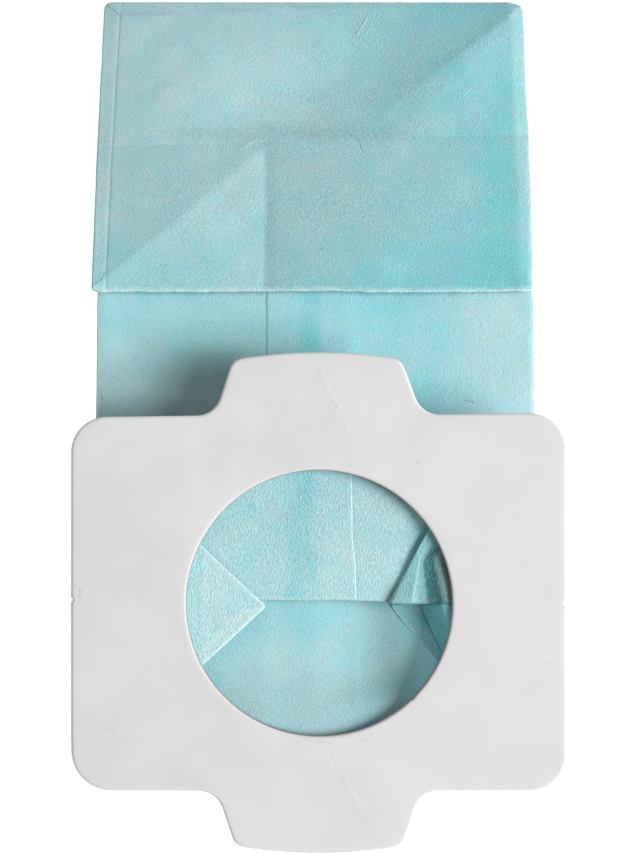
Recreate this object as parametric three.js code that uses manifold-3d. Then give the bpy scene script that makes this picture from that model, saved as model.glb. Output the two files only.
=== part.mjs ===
// Vacuum dust bag, folded flat: a block-ended gusseted paper bag with both ends
// laid onto its front, and a die-cut card collar on the near end rectangle.
// Millimetres, +Z up, +Y towards the far (plain) end, origin under the middle.
import * as THREE from 'three';
import Module from 'manifold-3d';

// ---- driving dimensions --------------------------------------------------
const PLY = 0.3;            // paper thickness as laid, with its fibre fuzz
const BAG_XL = -42.7;       // left side crease of the bag
const BAG_XR = 40.6;        // right side crease of the bag
const BAG_Y0 = -64.0;       // near end crease
const LEN = 149.0;          // folded length, near crease to far crease
const BOX = 60.0;           // depth of the opened box, height of each end rectangle
const HALF = BOX / 2;       // gusset fold distance from each end
const GUS = {               // inward depth of the gusset creases, the left one is deeper
  left: { near: 32.5, far: 32.5 },
  right: { near: 27.5, far: 27.5 },
};
const TUCK = 0.9;           // front panel fold sits inside the gusset fold by this
const SEAM_X0 = -10.05;     // outer edge of the long glued seam
const SEAM_X1 = 6.5;        // inner edge of the seam overlap
const INLET_R = 24.6;       // hole in the near end rectangle

const TILT = 10 * Math.PI / 180;  // collar leans back over the springy folds
const CARD = 1.3;           // collar board thickness
const CARD_W = 90.1;        // collar width
const BODY_H = 67.9;        // collar height between its shoulders
const CORNER_R = 6.5;       // collar corner radius
const TAB_ROOT = 18.7;      // half width of the tab at the shoulder
const TAB_TOP = 15.35;      // half width of the tab at its corners
const TAB_H = 44.05;        // tab corner distance from the middle
const CROWN_H = 45.35;      // tab crown distance from the middle
const TAB_CORNER_R = 2.9;
const TAB_FILLET_R = 4.6;
const HOLE_R = 24.05;       // collar hole radius
const EDGE = 0.22;          // crushed die-cut edge
const CARD_Y = -34.07;      // hole middle, world Y, on the front face

// heights of the underside of each ply along the bag, [distance from near crease, z]
const Z = {
  back: [[0, 0], [LEN, 0]],
  gusBack: [[0, 0.7], [HALF, 1.3], [LEN - BOX, 1.6], [LEN - HALF, 0.95], [LEN, 0.65]],
  gusFront: [[HALF, 2.3], [64, 2.25], [LEN - BOX, 3.2], [LEN - HALF, 1.65]],
  front: [[HALF, 3.3], [64, 3.3], [LEN - BOX, 4.9], [LEN - HALF, 2.35]],
  revNear: [[HALF, 4.3], [BOX, 11.0]],
  wrapNear: [[HALF, 5.3], [BOX, 11.53]],
  triNear: [[0, 1.3], [HALF, 6.3], [BOX, 12.06]],
  endNear: [[0, 2.0], [BOX, 2.0 + BOX * Math.tan(TILT)]],
  revFar: [[LEN - BOX, 5.65], [LEN - HALF, 3.05]],
  wrapFar: [[LEN - BOX, 6.2], [LEN - HALF, 3.75]],
  triFar: [[LEN - BOX, 6.75], [LEN - HALF, 4.45], [LEN, 1.18]],
  endFar: [[LEN - BOX, 7.3], [LEN - HALF, 5.3], [LEN, 1.7]],
};

// ---- solids from flat polygons and sloping undersides --------------------
const wasm = await Module();
wasm.setup();

function zAt(knots, s) {
  if (s <= knots[0][0]) return knots[0][1];
  for (let i = 1; i < knots.length; i++) {
    const [a, za] = knots[i - 1], [b, zb] = knots[i];
    if (s <= b) return za + (zb - za) * (s - a) / (b - a);
  }
  return knots[knots.length - 1][1];
}

function clip(poly, keep) {   // keep part of a convex polygon where keep(p) >= 0
  const out = [];
  for (let i = 0; i < poly.length; i++) {
    const p = poly[i], q = poly[(i + 1) % poly.length];
    const dp = keep(p), dq = keep(q);
    if (dp >= 0) out.push(p);
    if ((dp > 0 && dq < 0) || (dp < 0 && dq > 0)) {
      const k = dp / (dp - dq);
      out.push([p[0] + (q[0] - p[0]) * k, p[1] + (q[1] - p[1]) * k]);
    }
  }
  return out;
}

function area(poly) {
  let a = 0;
  for (let i = 0; i < poly.length; i++) {
    const p = poly[i], q = poly[(i + 1) % poly.length];
    a += p[0] * q[1] - q[0] * p[1];
  }
  return a / 2;
}

function prism(poly, low, high) {   // poly in world x,y; low/high give z at a point
  const p = area(poly) < 0 ? poly.slice().reverse() : poly;
  const n = p.length;
  const verts = [];
  for (const q of p) verts.push(q[0], q[1], low(q));
  for (const q of p) verts.push(q[0], q[1], high(q));
  const tris = [];
  for (let i = 1; i < n - 1; i++) {
    tris.push(0, i + 1, i);
    tris.push(n, n + i, n + i + 1);
  }
  for (let i = 0; i < n; i++) {
    const j = (i + 1) % n;
    tris.push(i, j, n + j, i, n + j, n + i);
  }
  return new wasm.Manifold(new wasm.Mesh({
    numProp: 3,
    vertProperties: new Float32Array(verts),
    triVerts: new Uint32Array(tris),
  }));
}

const solids = [];
// a sheet or a fold wall: convex polygon in [x, s], from the underside `lo` (minus
// drop) to the top of `hi` (plus rise), split wherever either height changes slope
function lay(poly, lo, hi, drop = 0, rise = 0) {
  const cuts = new Set();
  for (const k of [...lo, ...hi]) cuts.add(k[0]);
  const s0 = Math.min(...poly.map((p) => p[1])), s1 = Math.max(...poly.map((p) => p[1]));
  const stops = [s0, ...[...cuts].filter((c) => c > s0 + 1e-6 && c < s1 - 1e-6).sort((a, b) => a - b), s1];
  for (let i = 1; i < stops.length; i++) {
    const a = stops[i - 1], b = stops[i];
    let piece = clip(poly, (p) => p[1] - a);
    piece = clip(piece, (p) => b - p[1]);
    if (piece.length < 3 || Math.abs(area(piece)) < 1e-6) continue;
    const world = piece.map((p) => [p[0], BAG_Y0 + p[1]]);
    solids.push(prism(world,
      (p) => zAt(lo, p[1] - BAG_Y0) - drop,
      (p) => zAt(hi, p[1] - BAG_Y0) + PLY + rise));
  }
}
const rect = (x0, x1, s0, s1) => [[x0, s0], [x1, s0], [x1, s1], [x0, s1]];

// full-width plies
const F0 = HALF + TUCK, F1 = LEN - HALF - TUCK;
lay(rect(BAG_XL, BAG_XR, 0, LEN), Z.back, Z.back);
lay(rect(BAG_XL, BAG_XR, F0, F1), Z.front, Z.front);
lay(rect(BAG_XL, BAG_XR, F0, BOX), Z.revNear, Z.revNear);
lay(rect(BAG_XL, BAG_XR, LEN - BOX, F1), Z.revFar, Z.revFar);
lay(rect(BAG_XL, BAG_XR, 0, BOX), Z.endNear, Z.endNear);
lay(rect(BAG_XL, BAG_XR, LEN - BOX, LEN), Z.endFar, Z.endFar);
// long seam, two plies where the edges overlap
lay(rect(SEAM_X0, SEAM_X1, F0, F1), Z.front, Z.front, PLY, 0);
lay(rect(SEAM_X0, SEAM_X1, F0, BOX), Z.revNear, Z.revNear, 0, PLY);
lay(rect(SEAM_X0, SEAM_X1, LEN - BOX, F1), Z.revFar, Z.revFar, 0, PLY);
// end creases: back to end rectangle, end rectangle to doubled-back front, front to doubled-back front
lay(rect(BAG_XL, BAG_XR, 0, PLY), Z.back, Z.endNear);
lay(rect(BAG_XL, BAG_XR, BOX - PLY, BOX), Z.revNear, Z.endNear);
lay(rect(BAG_XL, BAG_XR, F0, F0 + PLY), Z.front, Z.revNear);
lay(rect(BAG_XL, BAG_XR, LEN - PLY, LEN), Z.back, Z.endFar);
lay(rect(BAG_XL, BAG_XR, LEN - BOX, LEN - BOX + PLY), Z.revFar, Z.endFar);
lay(rect(BAG_XL, BAG_XR, F1 - PLY, F1), Z.front, Z.revFar);

// side gussets, plan given as [inward distance, distance from near crease]
for (const side of ['left', 'right']) {
  const { near, far } = GUS[side];
  const put = (pts) => pts.map(([d, s]) => [side === 'left' ? BAG_XL + d : BAG_XR - d, s]);
  const S0 = HALF, S1 = LEN - HALF;
  // gusset plies
  lay(put([[0, 0], [near, S0], [far, S1], [0, LEN]]), Z.gusBack, Z.gusBack);
  lay(put([[0, S0], [near, S0], [far, S1], [0, S1]]), Z.gusFront, Z.gusFront);
  lay(put([[0, S0], [near, S0], [0, BOX]]), Z.wrapNear, Z.wrapNear);
  lay(put([[0, S1], [far, S1], [0, LEN - BOX]]), Z.wrapFar, Z.wrapFar);
  lay(put([[0, 0], [near, S0], [0, BOX]]), Z.triNear, Z.triNear);
  lay(put([[0, LEN], [far, S1], [0, LEN - BOX]]), Z.triFar, Z.triFar);
  // side creases
  const edge = (s0, s1) => put([[0, s0], [PLY, s0], [PLY, s1], [0, s1]]);
  lay(edge(0, LEN), Z.back, Z.gusBack);
  lay(edge(S0, S1), Z.gusFront, Z.front);
  lay(edge(S0, F0 + PLY), Z.gusFront, Z.wrapNear);
  lay(edge(F1 - PLY, S1), Z.gusFront, Z.wrapFar);
  lay(edge(S0, BOX), Z.revNear, Z.wrapNear);
  lay(edge(LEN - BOX, S1), Z.revFar, Z.wrapFar);
  lay(edge(0, BOX), Z.triNear, Z.endNear);
  lay(edge(LEN - BOX, LEN), Z.triFar, Z.endFar);
  // inward gusset crease
  lay(put([[near - PLY, S0], [near, S0], [far, S1], [far - PLY, S1]]), Z.gusBack, Z.gusFront);
  // gusset ply turned back at each end
  lay(put([[0, S0], [near, S0], [near, S0 + PLY], [0, S0 + PLY]]), Z.gusFront, Z.wrapNear);
  lay(put([[0, S1 - PLY], [far, S1 - PLY], [far, S1], [0, S1]]), Z.gusFront, Z.wrapFar);
  // slanted creases of the tucked-in triangles
  const w = PLY * 1.45;
  lay(put([[0, 0], [near, S0], [near - w, S0], [0, w]]), Z.gusBack, Z.triNear);
  lay(put([[0, BOX], [near, S0], [near - w, S0], [0, BOX - w]]), Z.wrapNear, Z.triNear);
  lay(put([[0, LEN], [far, S1], [far - w, S1], [0, LEN - w]]), Z.gusBack, Z.triFar);
  lay(put([[0, LEN - BOX], [far, S1], [far - w, S1], [0, LEN - BOX + w]]), Z.wrapFar, Z.triFar);
  // pressed corners, where five creases meet
  const c = 0.8;
  lay(put([[0, 0], [c, 0], [c, c], [0, c]]), Z.back, Z.endNear);
  lay(put([[0, LEN], [c, LEN], [c, LEN - c], [0, LEN - c]]), Z.back, Z.endFar);
  lay(put([[0, BOX], [c, BOX], [c, BOX - c], [0, BOX - c]]), Z.revNear, Z.endNear);
  lay(put([[0, LEN - BOX], [c, LEN - BOX], [c, LEN - BOX + c], [0, LEN - BOX + c]]), Z.revFar, Z.endFar);
}

let bag = solids[0];
for (let i = 1; i < solids.length; i++) bag = bag.add(solids[i]);

// inlet hole through the near end rectangle only, square to the collar
{
  const n = 60, poly = [];
  const cz = zAt(Z.endNear, CARD_Y - BAG_Y0);
  for (let i = 0; i < n; i++) {
    const a = (i + 0.5) / n * 2 * Math.PI;
    poly.push([INLET_R * Math.cos(a), CARD_Y + INLET_R * Math.cos(TILT) * Math.sin(a)]);
  }
  const slope = Math.tan(TILT);
  bag = bag.subtract(prism(poly,
    (p) => cz - 0.25 + slope * (p[1] - CARD_Y),
    (p) => cz + 0.6 + slope * (p[1] - CARD_Y)));
}

function toGeometry(m) {
  const mesh = m.simplify(0.004).getMesh();
  const np = mesh.numProp;
  const pos = new Float32Array(mesh.vertProperties.length / np * 3);
  for (let i = 0; i < pos.length / 3; i++) {
    pos[3 * i] = mesh.vertProperties[np * i];
    pos[3 * i + 1] = mesh.vertProperties[np * i + 1];
    pos[3 * i + 2] = mesh.vertProperties[np * i + 2];
  }
  const g = new THREE.BufferGeometry();
  g.setAttribute('position', new THREE.BufferAttribute(pos, 3));
  g.setIndex(new THREE.BufferAttribute(new Uint32Array(mesh.triVerts), 1));
  g.computeVertexNormals();
  return g;
}

// ---- collar --------------------------------------------------------------
// outline from corner points [u, v, radius, steps]
function rounded(points) {
  const out = [];
  const n = points.length;
  for (let i = 0; i < n; i++) {
    const [x, y, r, steps] = points[i];
    if (!r) { out.push([x, y]); continue; }
    const p = points[(i + n - 1) % n], q = points[(i + 1) % n];
    let ax = p[0] - x, ay = p[1] - y, bx = q[0] - x, by = q[1] - y;
    const la = Math.hypot(ax, ay), lb = Math.hypot(bx, by);
    ax /= la; ay /= la; bx /= lb; by /= lb;
    const half = Math.acos(Math.max(-1, Math.min(1, ax * bx + ay * by))) / 2;
    const d = r / Math.tan(half);
    const mx = ax + bx, my = ay + by, lm = Math.hypot(mx, my);
    const c = [x + mx / lm * r / Math.sin(half), y + my / lm * r / Math.sin(half)];
    const a0 = Math.atan2(y + ay * d - c[1], x + ax * d - c[0]);
    let a1 = Math.atan2(y + by * d - c[1], x + bx * d - c[0]);
    while (a1 - a0 > Math.PI) a1 -= 2 * Math.PI;
    while (a1 - a0 < -Math.PI) a1 += 2 * Math.PI;
    for (let k = 0; k <= steps; k++) {
      const a = a0 + (a1 - a0) * k / steps;
      out.push([c[0] + r * Math.cos(a), c[1] + r * Math.sin(a)]);
    }
  }
  return out;
}
const HW = CARD_W / 2, HB = BODY_H / 2;
const crown = (u) => CROWN_H - (CROWN_H - TAB_H) * (u / TAB_TOP) ** 2;
const tab = (sgn) => {      // tab walked counter-clockwise for sgn=+1 (top), -1 (bottom)
  const pts = [
    [TAB_ROOT * sgn, HB * sgn, TAB_FILLET_R, 5],
    [TAB_TOP * sgn, TAB_H * sgn, TAB_CORNER_R, 6],
  ];
  for (const u of [11, 7.5, 4, 0, -4, -7.5, -11]) pts.push([u * sgn, crown(u) * sgn, 0]);
  pts.push([-TAB_TOP * sgn, TAB_H * sgn, TAB_CORNER_R, 6]);
  pts.push([-TAB_ROOT * sgn, HB * sgn, TAB_FILLET_R, 5]);
  return pts;
};
const outline = rounded([
  [HW, -HB, CORNER_R, 8],
  // small die nick, right edge
  [HW, -0.6, 0], [HW - 0.35, -0.15, 0], [HW, 0.3, 0],
  [HW, HB, CORNER_R, 8],
  ...tab(1),
  [-HW, HB, CORNER_R, 8],
  // small die nick, left edge
  [-HW, 0.9, 0], [-HW + 0.35, 0.45, 0], [-HW, 0, 0],
  [-HW, -HB, CORNER_R, 8],
  ...tab(-1),
]);
const shape = new THREE.Shape(outline.map((p) => new THREE.Vector2(p[0], p[1])));
const hole = [];
const STEPS = 84, NICK = -0.788;   // nick on the hole rim, lower right
for (let i = 0; i < STEPS; i++) {
  const a = -i / STEPS * 2 * Math.PI;
  const off = Math.abs(((a - NICK + 3 * Math.PI) % (2 * Math.PI)) - Math.PI) < 0.03 ? 0.3 : 0;
  hole.push(new THREE.Vector2((HOLE_R + off) * Math.cos(a), (HOLE_R + off) * Math.sin(a)));
}
shape.holes.push(new THREE.Path(hole));
const card = new THREE.ExtrudeGeometry(shape, {
  depth: CARD - 2 * EDGE, bevelEnabled: true, bevelThickness: EDGE, bevelSize: EDGE,
  bevelOffset: -EDGE, bevelSegments: 2, curveSegments: 1, steps: 1,
});
card.translate(0, 0, EDGE - CARD);      // front face at local z 0
card.rotateX(TILT);
const frontZ = CROWN_H * Math.sin(TILT) + CARD * Math.cos(TILT);
card.translate(0, CARD_Y, frontZ);

// ---- colours and assembly ------------------------------------------------
const object = new THREE.Group();
object.name = 'vacuum_dust_bag';
function add(name, geometry, colour, roughness) {
  const material = new THREE.MeshStandardMaterial({ color: new THREE.Color(colour), roughness, metalness: 0 });
  const mesh = new THREE.Mesh(geometry, material);
  mesh.name = name;
  object.add(mesh);
}
add('paper_bag', toGeometry(bag), '#93ccd0', 0.9);
add('collar_plate', card, '#e2e2e3', 0.75);

object.updateMatrixWorld(true);
const box = new THREE.Box3().setFromObject(object);
object.position.set(-(box.min.x + box.max.x) / 2, -(box.min.y + box.max.y) / 2, -box.min.z);
export default object;
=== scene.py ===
import math

import bmesh
import bpy
import numpy as np
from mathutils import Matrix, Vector
from mathutils.geometry import delaunay_2d_cdt


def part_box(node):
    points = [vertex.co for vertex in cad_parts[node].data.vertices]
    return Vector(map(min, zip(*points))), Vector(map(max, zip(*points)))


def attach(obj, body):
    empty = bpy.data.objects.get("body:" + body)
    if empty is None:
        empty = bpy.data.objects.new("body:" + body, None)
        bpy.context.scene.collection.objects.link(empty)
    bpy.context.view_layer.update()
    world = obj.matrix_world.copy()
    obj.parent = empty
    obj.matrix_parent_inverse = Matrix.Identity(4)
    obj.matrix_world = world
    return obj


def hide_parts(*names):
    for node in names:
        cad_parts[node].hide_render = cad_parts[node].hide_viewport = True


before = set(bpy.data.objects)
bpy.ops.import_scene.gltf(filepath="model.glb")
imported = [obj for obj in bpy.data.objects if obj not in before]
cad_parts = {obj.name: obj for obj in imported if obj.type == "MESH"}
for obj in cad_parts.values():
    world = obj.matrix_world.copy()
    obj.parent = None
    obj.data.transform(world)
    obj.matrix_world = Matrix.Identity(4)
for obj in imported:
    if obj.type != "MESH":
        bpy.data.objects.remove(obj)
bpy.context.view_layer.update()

MM = 0.001
# The design frame below is the CAD's own, before model.glb was centred: x is the
# same, y is moved so that the far crease is at y = 85 mm.
Y_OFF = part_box("paper_bag")[1][1] / MM - 85.0

# ---------------------------------------------------------------- camera model
ELEV = math.radians(80.0)
CAM_D = 315.03                    # mm from the design origin along the view axis
F_PX = 300 / 0.1815               # focal length in pixels of the 640 x 853 frame
FWD = np.array([0.0, math.cos(ELEV), -math.sin(ELEV)])
UPV = np.array([0.0, math.sin(ELEV), math.cos(ELEV)])


def to_px(x, y, z):
    """Design point -> pixel of the 640 x 853 frame."""
    d = CAM_D + y * FWD[1] + z * FWD[2]
    return 320 + F_PX * x / d, 426.5 - F_PX * (y * UPV[1] + z * UPV[2]) / d


def from_px(u, v, z):
    """Pixel and height -> design x, y."""
    k = (426.5 - v) / F_PX
    s, c = math.sin(ELEV), math.cos(ELEV)
    y = (k * (CAM_D - s * z) - c * z) / (s - k * c)
    d = CAM_D + c * y - s * z
    return (u - 320) * d / F_PX, y


# ---------------------------------------------------------------- small maths
def sstep(a, b, x):
    t = np.clip((np.asarray(x, float) - a) / (b - a), 0.0, 1.0)
    return t * t * (3 - 2 * t)


def knots(pts, s):
    p = np.array(pts, float)
    return np.interp(s, p[:, 0], p[:, 1])


def soft_knots(pts, s, w):
    """Piecewise-linear profile with its corners rounded over +-w."""
    acc = 0.0
    offs = np.linspace(-w, w, 9)
    for o in offs:
        acc = acc + knots(pts, np.asarray(s, float) + o)
    return acc / len(offs)


def _hash(ix, iy, seed):
    n = (ix.astype(np.int64) * 374761393 + iy.astype(np.int64) * 668265263 + seed * 974634777) & 0x7FFFFFFF
    n = ((n ^ (n >> 13)) * 1274126177) & 0x7FFFFFFF
    n = (n ^ (n >> 16)) & 0xFFFF
    return n / 32767.5 - 1.0


def noise2(x, y, scale, seed, octaves=2):
    """Smooth value noise, about -1..1, `scale` in mm."""
    x = np.asarray(x, float)
    y = np.asarray(y, float)
    total = 0.0
    amp, norm = 1.0, 0.0
    for o in range(octaves):
        fx, fy = x / scale, y / scale
        ix, iy = np.floor(fx), np.floor(fy)
        tx, ty = fx - ix, fy - iy
        tx = tx * tx * tx * (tx * (6 * tx - 15) + 10)
        ty = ty * ty * ty * (ty * (6 * ty - 15) + 10)
        a = _hash(ix, iy, seed + o)
        b = _hash(ix + 1, iy, seed + o)
        c = _hash(ix, iy + 1, seed + o)
        d = _hash(ix + 1, iy + 1, seed + o)
        total = total + amp * (a + (b - a) * tx + (c - a) * ty + (a - b - c + d) * tx * ty)
        norm += amp
        amp *= 0.5
        scale = scale / 2.1
    return total / norm


def seg_dist(x, y, ax, ay, bx, by):
    """Distance to a segment, the signed side (left positive) and 0..1 along it."""
    dx, dy = bx - ax, by - ay
    l2 = dx * dx + dy * dy
    t = np.clip(((x - ax) * dx + (y - ay) * dy) / l2, 0, 1)
    qx, qy = ax + t * dx, ay + t * dy
    d = np.hypot(x - qx, y - qy)
    side = np.sign(dx * (y - ay) - dy * (x - ax))
    return d, side, t


# ---------------------------------------------------------------- dimensions
XL, XR = -42.7, 40.6
UXL, UXR = -41.95, 39.90          # edges of the plies that lie under the far end and the front
Y0 = -64.0
LEN, BOX, HALF = 149.0, 60.0, 30.0
GL, GR = 32.5, 27.5
SEAM_X0, SEAM_X1 = -10.05, 6.5
PAPER_T = 0.2
TILT = math.radians(10)
TT = math.tan(TILT)
CARD_Y = -34.07
CARD_T = 1.3
FRONT_Z = 45.35 * math.sin(TILT) + CARD_T * math.cos(TILT)
T_TONE, F_TONE, R_TONE, B_TONE = 0.920, 1.015, 0.985, 0.985


# ---------------------------------------------------------------- mesh builder
class Sheet:
    """Grids of mid-surface points with masks, welded and given thickness later."""

    def __init__(self):
        self.v, self.q, self.m, self.a = [], [], [], []
        self.n = 0

    def grid(self, P, mat, sat=0.5, tone=1.0, wear_and_highlight=0.0, dark=0.0, flip=False):
        P = np.asarray(P, float)
        n, m = P.shape[:2]
        idx = np.arange(n * m).reshape(n, m) + self.n
        self.v.append(P.reshape(-1, 3))
        at = np.stack([np.broadcast_to(np.asarray(k, float), (n, m)) for k in (sat, tone, wear_and_highlight, dark)], -1)
        self.a.append(at.reshape(-1, 4))
        q = np.stack([idx[:-1, :-1], idx[1:, :-1], idx[1:, 1:], idx[:-1, 1:]], -1).reshape(-1, 4)
        if flip:
            q = q[:, ::-1]
        self.q.append(q)
        self.m.append(np.full(len(q), mat))
        self.n += n * m
        return P

    def build(self, name, mats, weld=0.004):
        v = np.concatenate(self.v)
        a = np.concatenate(self.a)
        q = np.concatenate(self.q)
        m = np.concatenate(self.m)
        key = np.round(v / weld).astype(np.int64)
        _, first, inv = np.unique(key, axis=0, return_index=True, return_inverse=True)
        inv = inv.reshape(-1)
        v = v[first]
        a = a[first]
        q = inv[q]
        faces, fm = [], []
        for f, k in zip(q.tolist(), m.tolist()):
            g = []
            for i in f:
                if i not in g:
                    g.append(i)
            if len(g) >= 3:
                faces.append(g)
                fm.append(k)
        me = bpy.data.meshes.new(name)
        vm = v.copy()
        vm[:, 1] += Y_OFF
        me.from_pydata((vm * MM).tolist(), [], faces)
        for mt in mats:
            me.materials.append(mt)
        me.polygons.foreach_set("material_index", fm)
        me.polygons.foreach_set("use_smooth", [True] * len(faces))
        col = me.color_attributes.new("mask", "FLOAT_COLOR", "POINT")
        col.data.foreach_set("color", a.reshape(-1).tolist())
        me.update()
        ob = bpy.data.objects.new(name, me)
        bpy.context.scene.collection.objects.link(ob)
        return ob


def lines(a, b, step, extra=(), fine=0.3):
    """Grid lines from a to b about `step` apart, with close ones at the extra places."""
    base = list(np.linspace(a, b, max(2, int(round((b - a) / step)) + 1)))
    for e in extra:
        for o in (-fine * 2, -fine, 0.0, fine, fine * 2):
            if a < e + o < b:
                base.append(e + o)
    base = np.unique(np.round(base, 4))
    keep = [base[0]]
    pinned = {round(a, 4), round(b, 4)} | {round(e, 4) for e in extra}
    for p in base[1:]:
        if p - keep[-1] < fine * 0.6 and p not in pinned:
            continue
        if p - keep[-1] < fine * 0.6 and keep[-1] not in pinned:
            keep[-1] = p
        else:
            keep.append(p)
    return np.array(keep)


K = 1.0


# ---------------------------------------------------------------- paper heights
def z_end(s):            # near end rectangle, glued under the collar
    return 2.43 + TT * np.asarray(s, float)


def z_tri(s):            # tucked triangle at the near end, at the side crease
    return z_end(s) - knots([(0, 0.45), (30, 0.62), (60, 0.27)], s)


def z_frontply(s):
    return soft_knots([(0, 4.9), (30.9, 4.75), (66, 2.35), (78, 3.2), (87, 4.75), (92, 5.1), (119, 2.6), (149, 2.6)], s, 2.5)


def z_rev(s):
    return soft_knots([(20, 4.4), (30.9, 5.25), (33, 5.85), (37, 6.85), (44, 8.45), (52, 10.25), (60, 12.12), (70, 14)], s, 1.0)


def z_gus(s, f):         # gusset plies, f = 0 at the side crease, 1 at the inner crease
    back0 = knots([(0, 0.35), (30, 0.75), (89, 0.9), (119, 0.8), (149, 0.35)], s)
    inner = knots([(0, 1.0), (30, 3.9), (45, 2.6), (66, 1.9), (89, 2.7), (119, 1.6), (149, 0.6)], s)
    return back0 + (inner - back0) * f


def z_gusfront(s, f):
    a = z_frontply(s) - knots([(30, 0.6), (66, 0.6), (119, 0.7)], s)
    b = z_gus(s, 1.0) + 0.4
    return a + (b - a) * f


def z_top_base(sp):      # far end rectangle, sp = distance from the far crease
    return soft_knots([(-6, 1.3), (0, 1.85), (30, 5.4), (60, 7.35), (66, 7.7)], sp, 0.9)


def z_back(x, s):        # back panel: dips from the near crease, swells again below the front
    rise = soft_knots([(-5, 2.05), (0, 2.05), (4, 2.45), (8.5, 3.05), (12, 2.75), (16, 1.9), (20, 1.6), (27, 2.6), (30, 3.0), (34, 3.1), (44, 1.2), (60, 0.2), (70, 0), (149, 0)], s, 2.0)
    w = np.clip(np.minimum((x - XL) / GL, (XR - x) / GR), 0, 1)
    w = w * (1 - 0.94 * sstep(-2, 12, x) * sstep(11, 19, s))
    return 0.13 + rise * w


def lim_right(s):        # reach of the right tucked triangle, its upper half crushed outwards
    return knots([(0, 0), (10, 10.4), (19.5, 19.1), (23.2, 22.0), (25.2, 24.3), (28, 26.5), (30, 27.8), (32.8, 26.3), (38.7, 23.1), (41.8, 21.4), (44.4, 19.7), (50, 13.2), (60, 0)], s)


sheet = Sheet()
M_TOP, M_FRONT, M_IN, M_BACK = 0, 1, 2, 3


def px_of(P):
    return to_px(P[..., 0], P[..., 1], P[..., 2])


# ---------------------------------------------------------------- far end rectangle
def off_line(u, v, a, b):
    """Signed distance in pixels from the line a-b."""
    dx, dy = b[0] - a[0], b[1] - a[1]
    return ((u - a[0]) * dy - (v - a[1]) * dx) / math.hypot(dx, dy)


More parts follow.
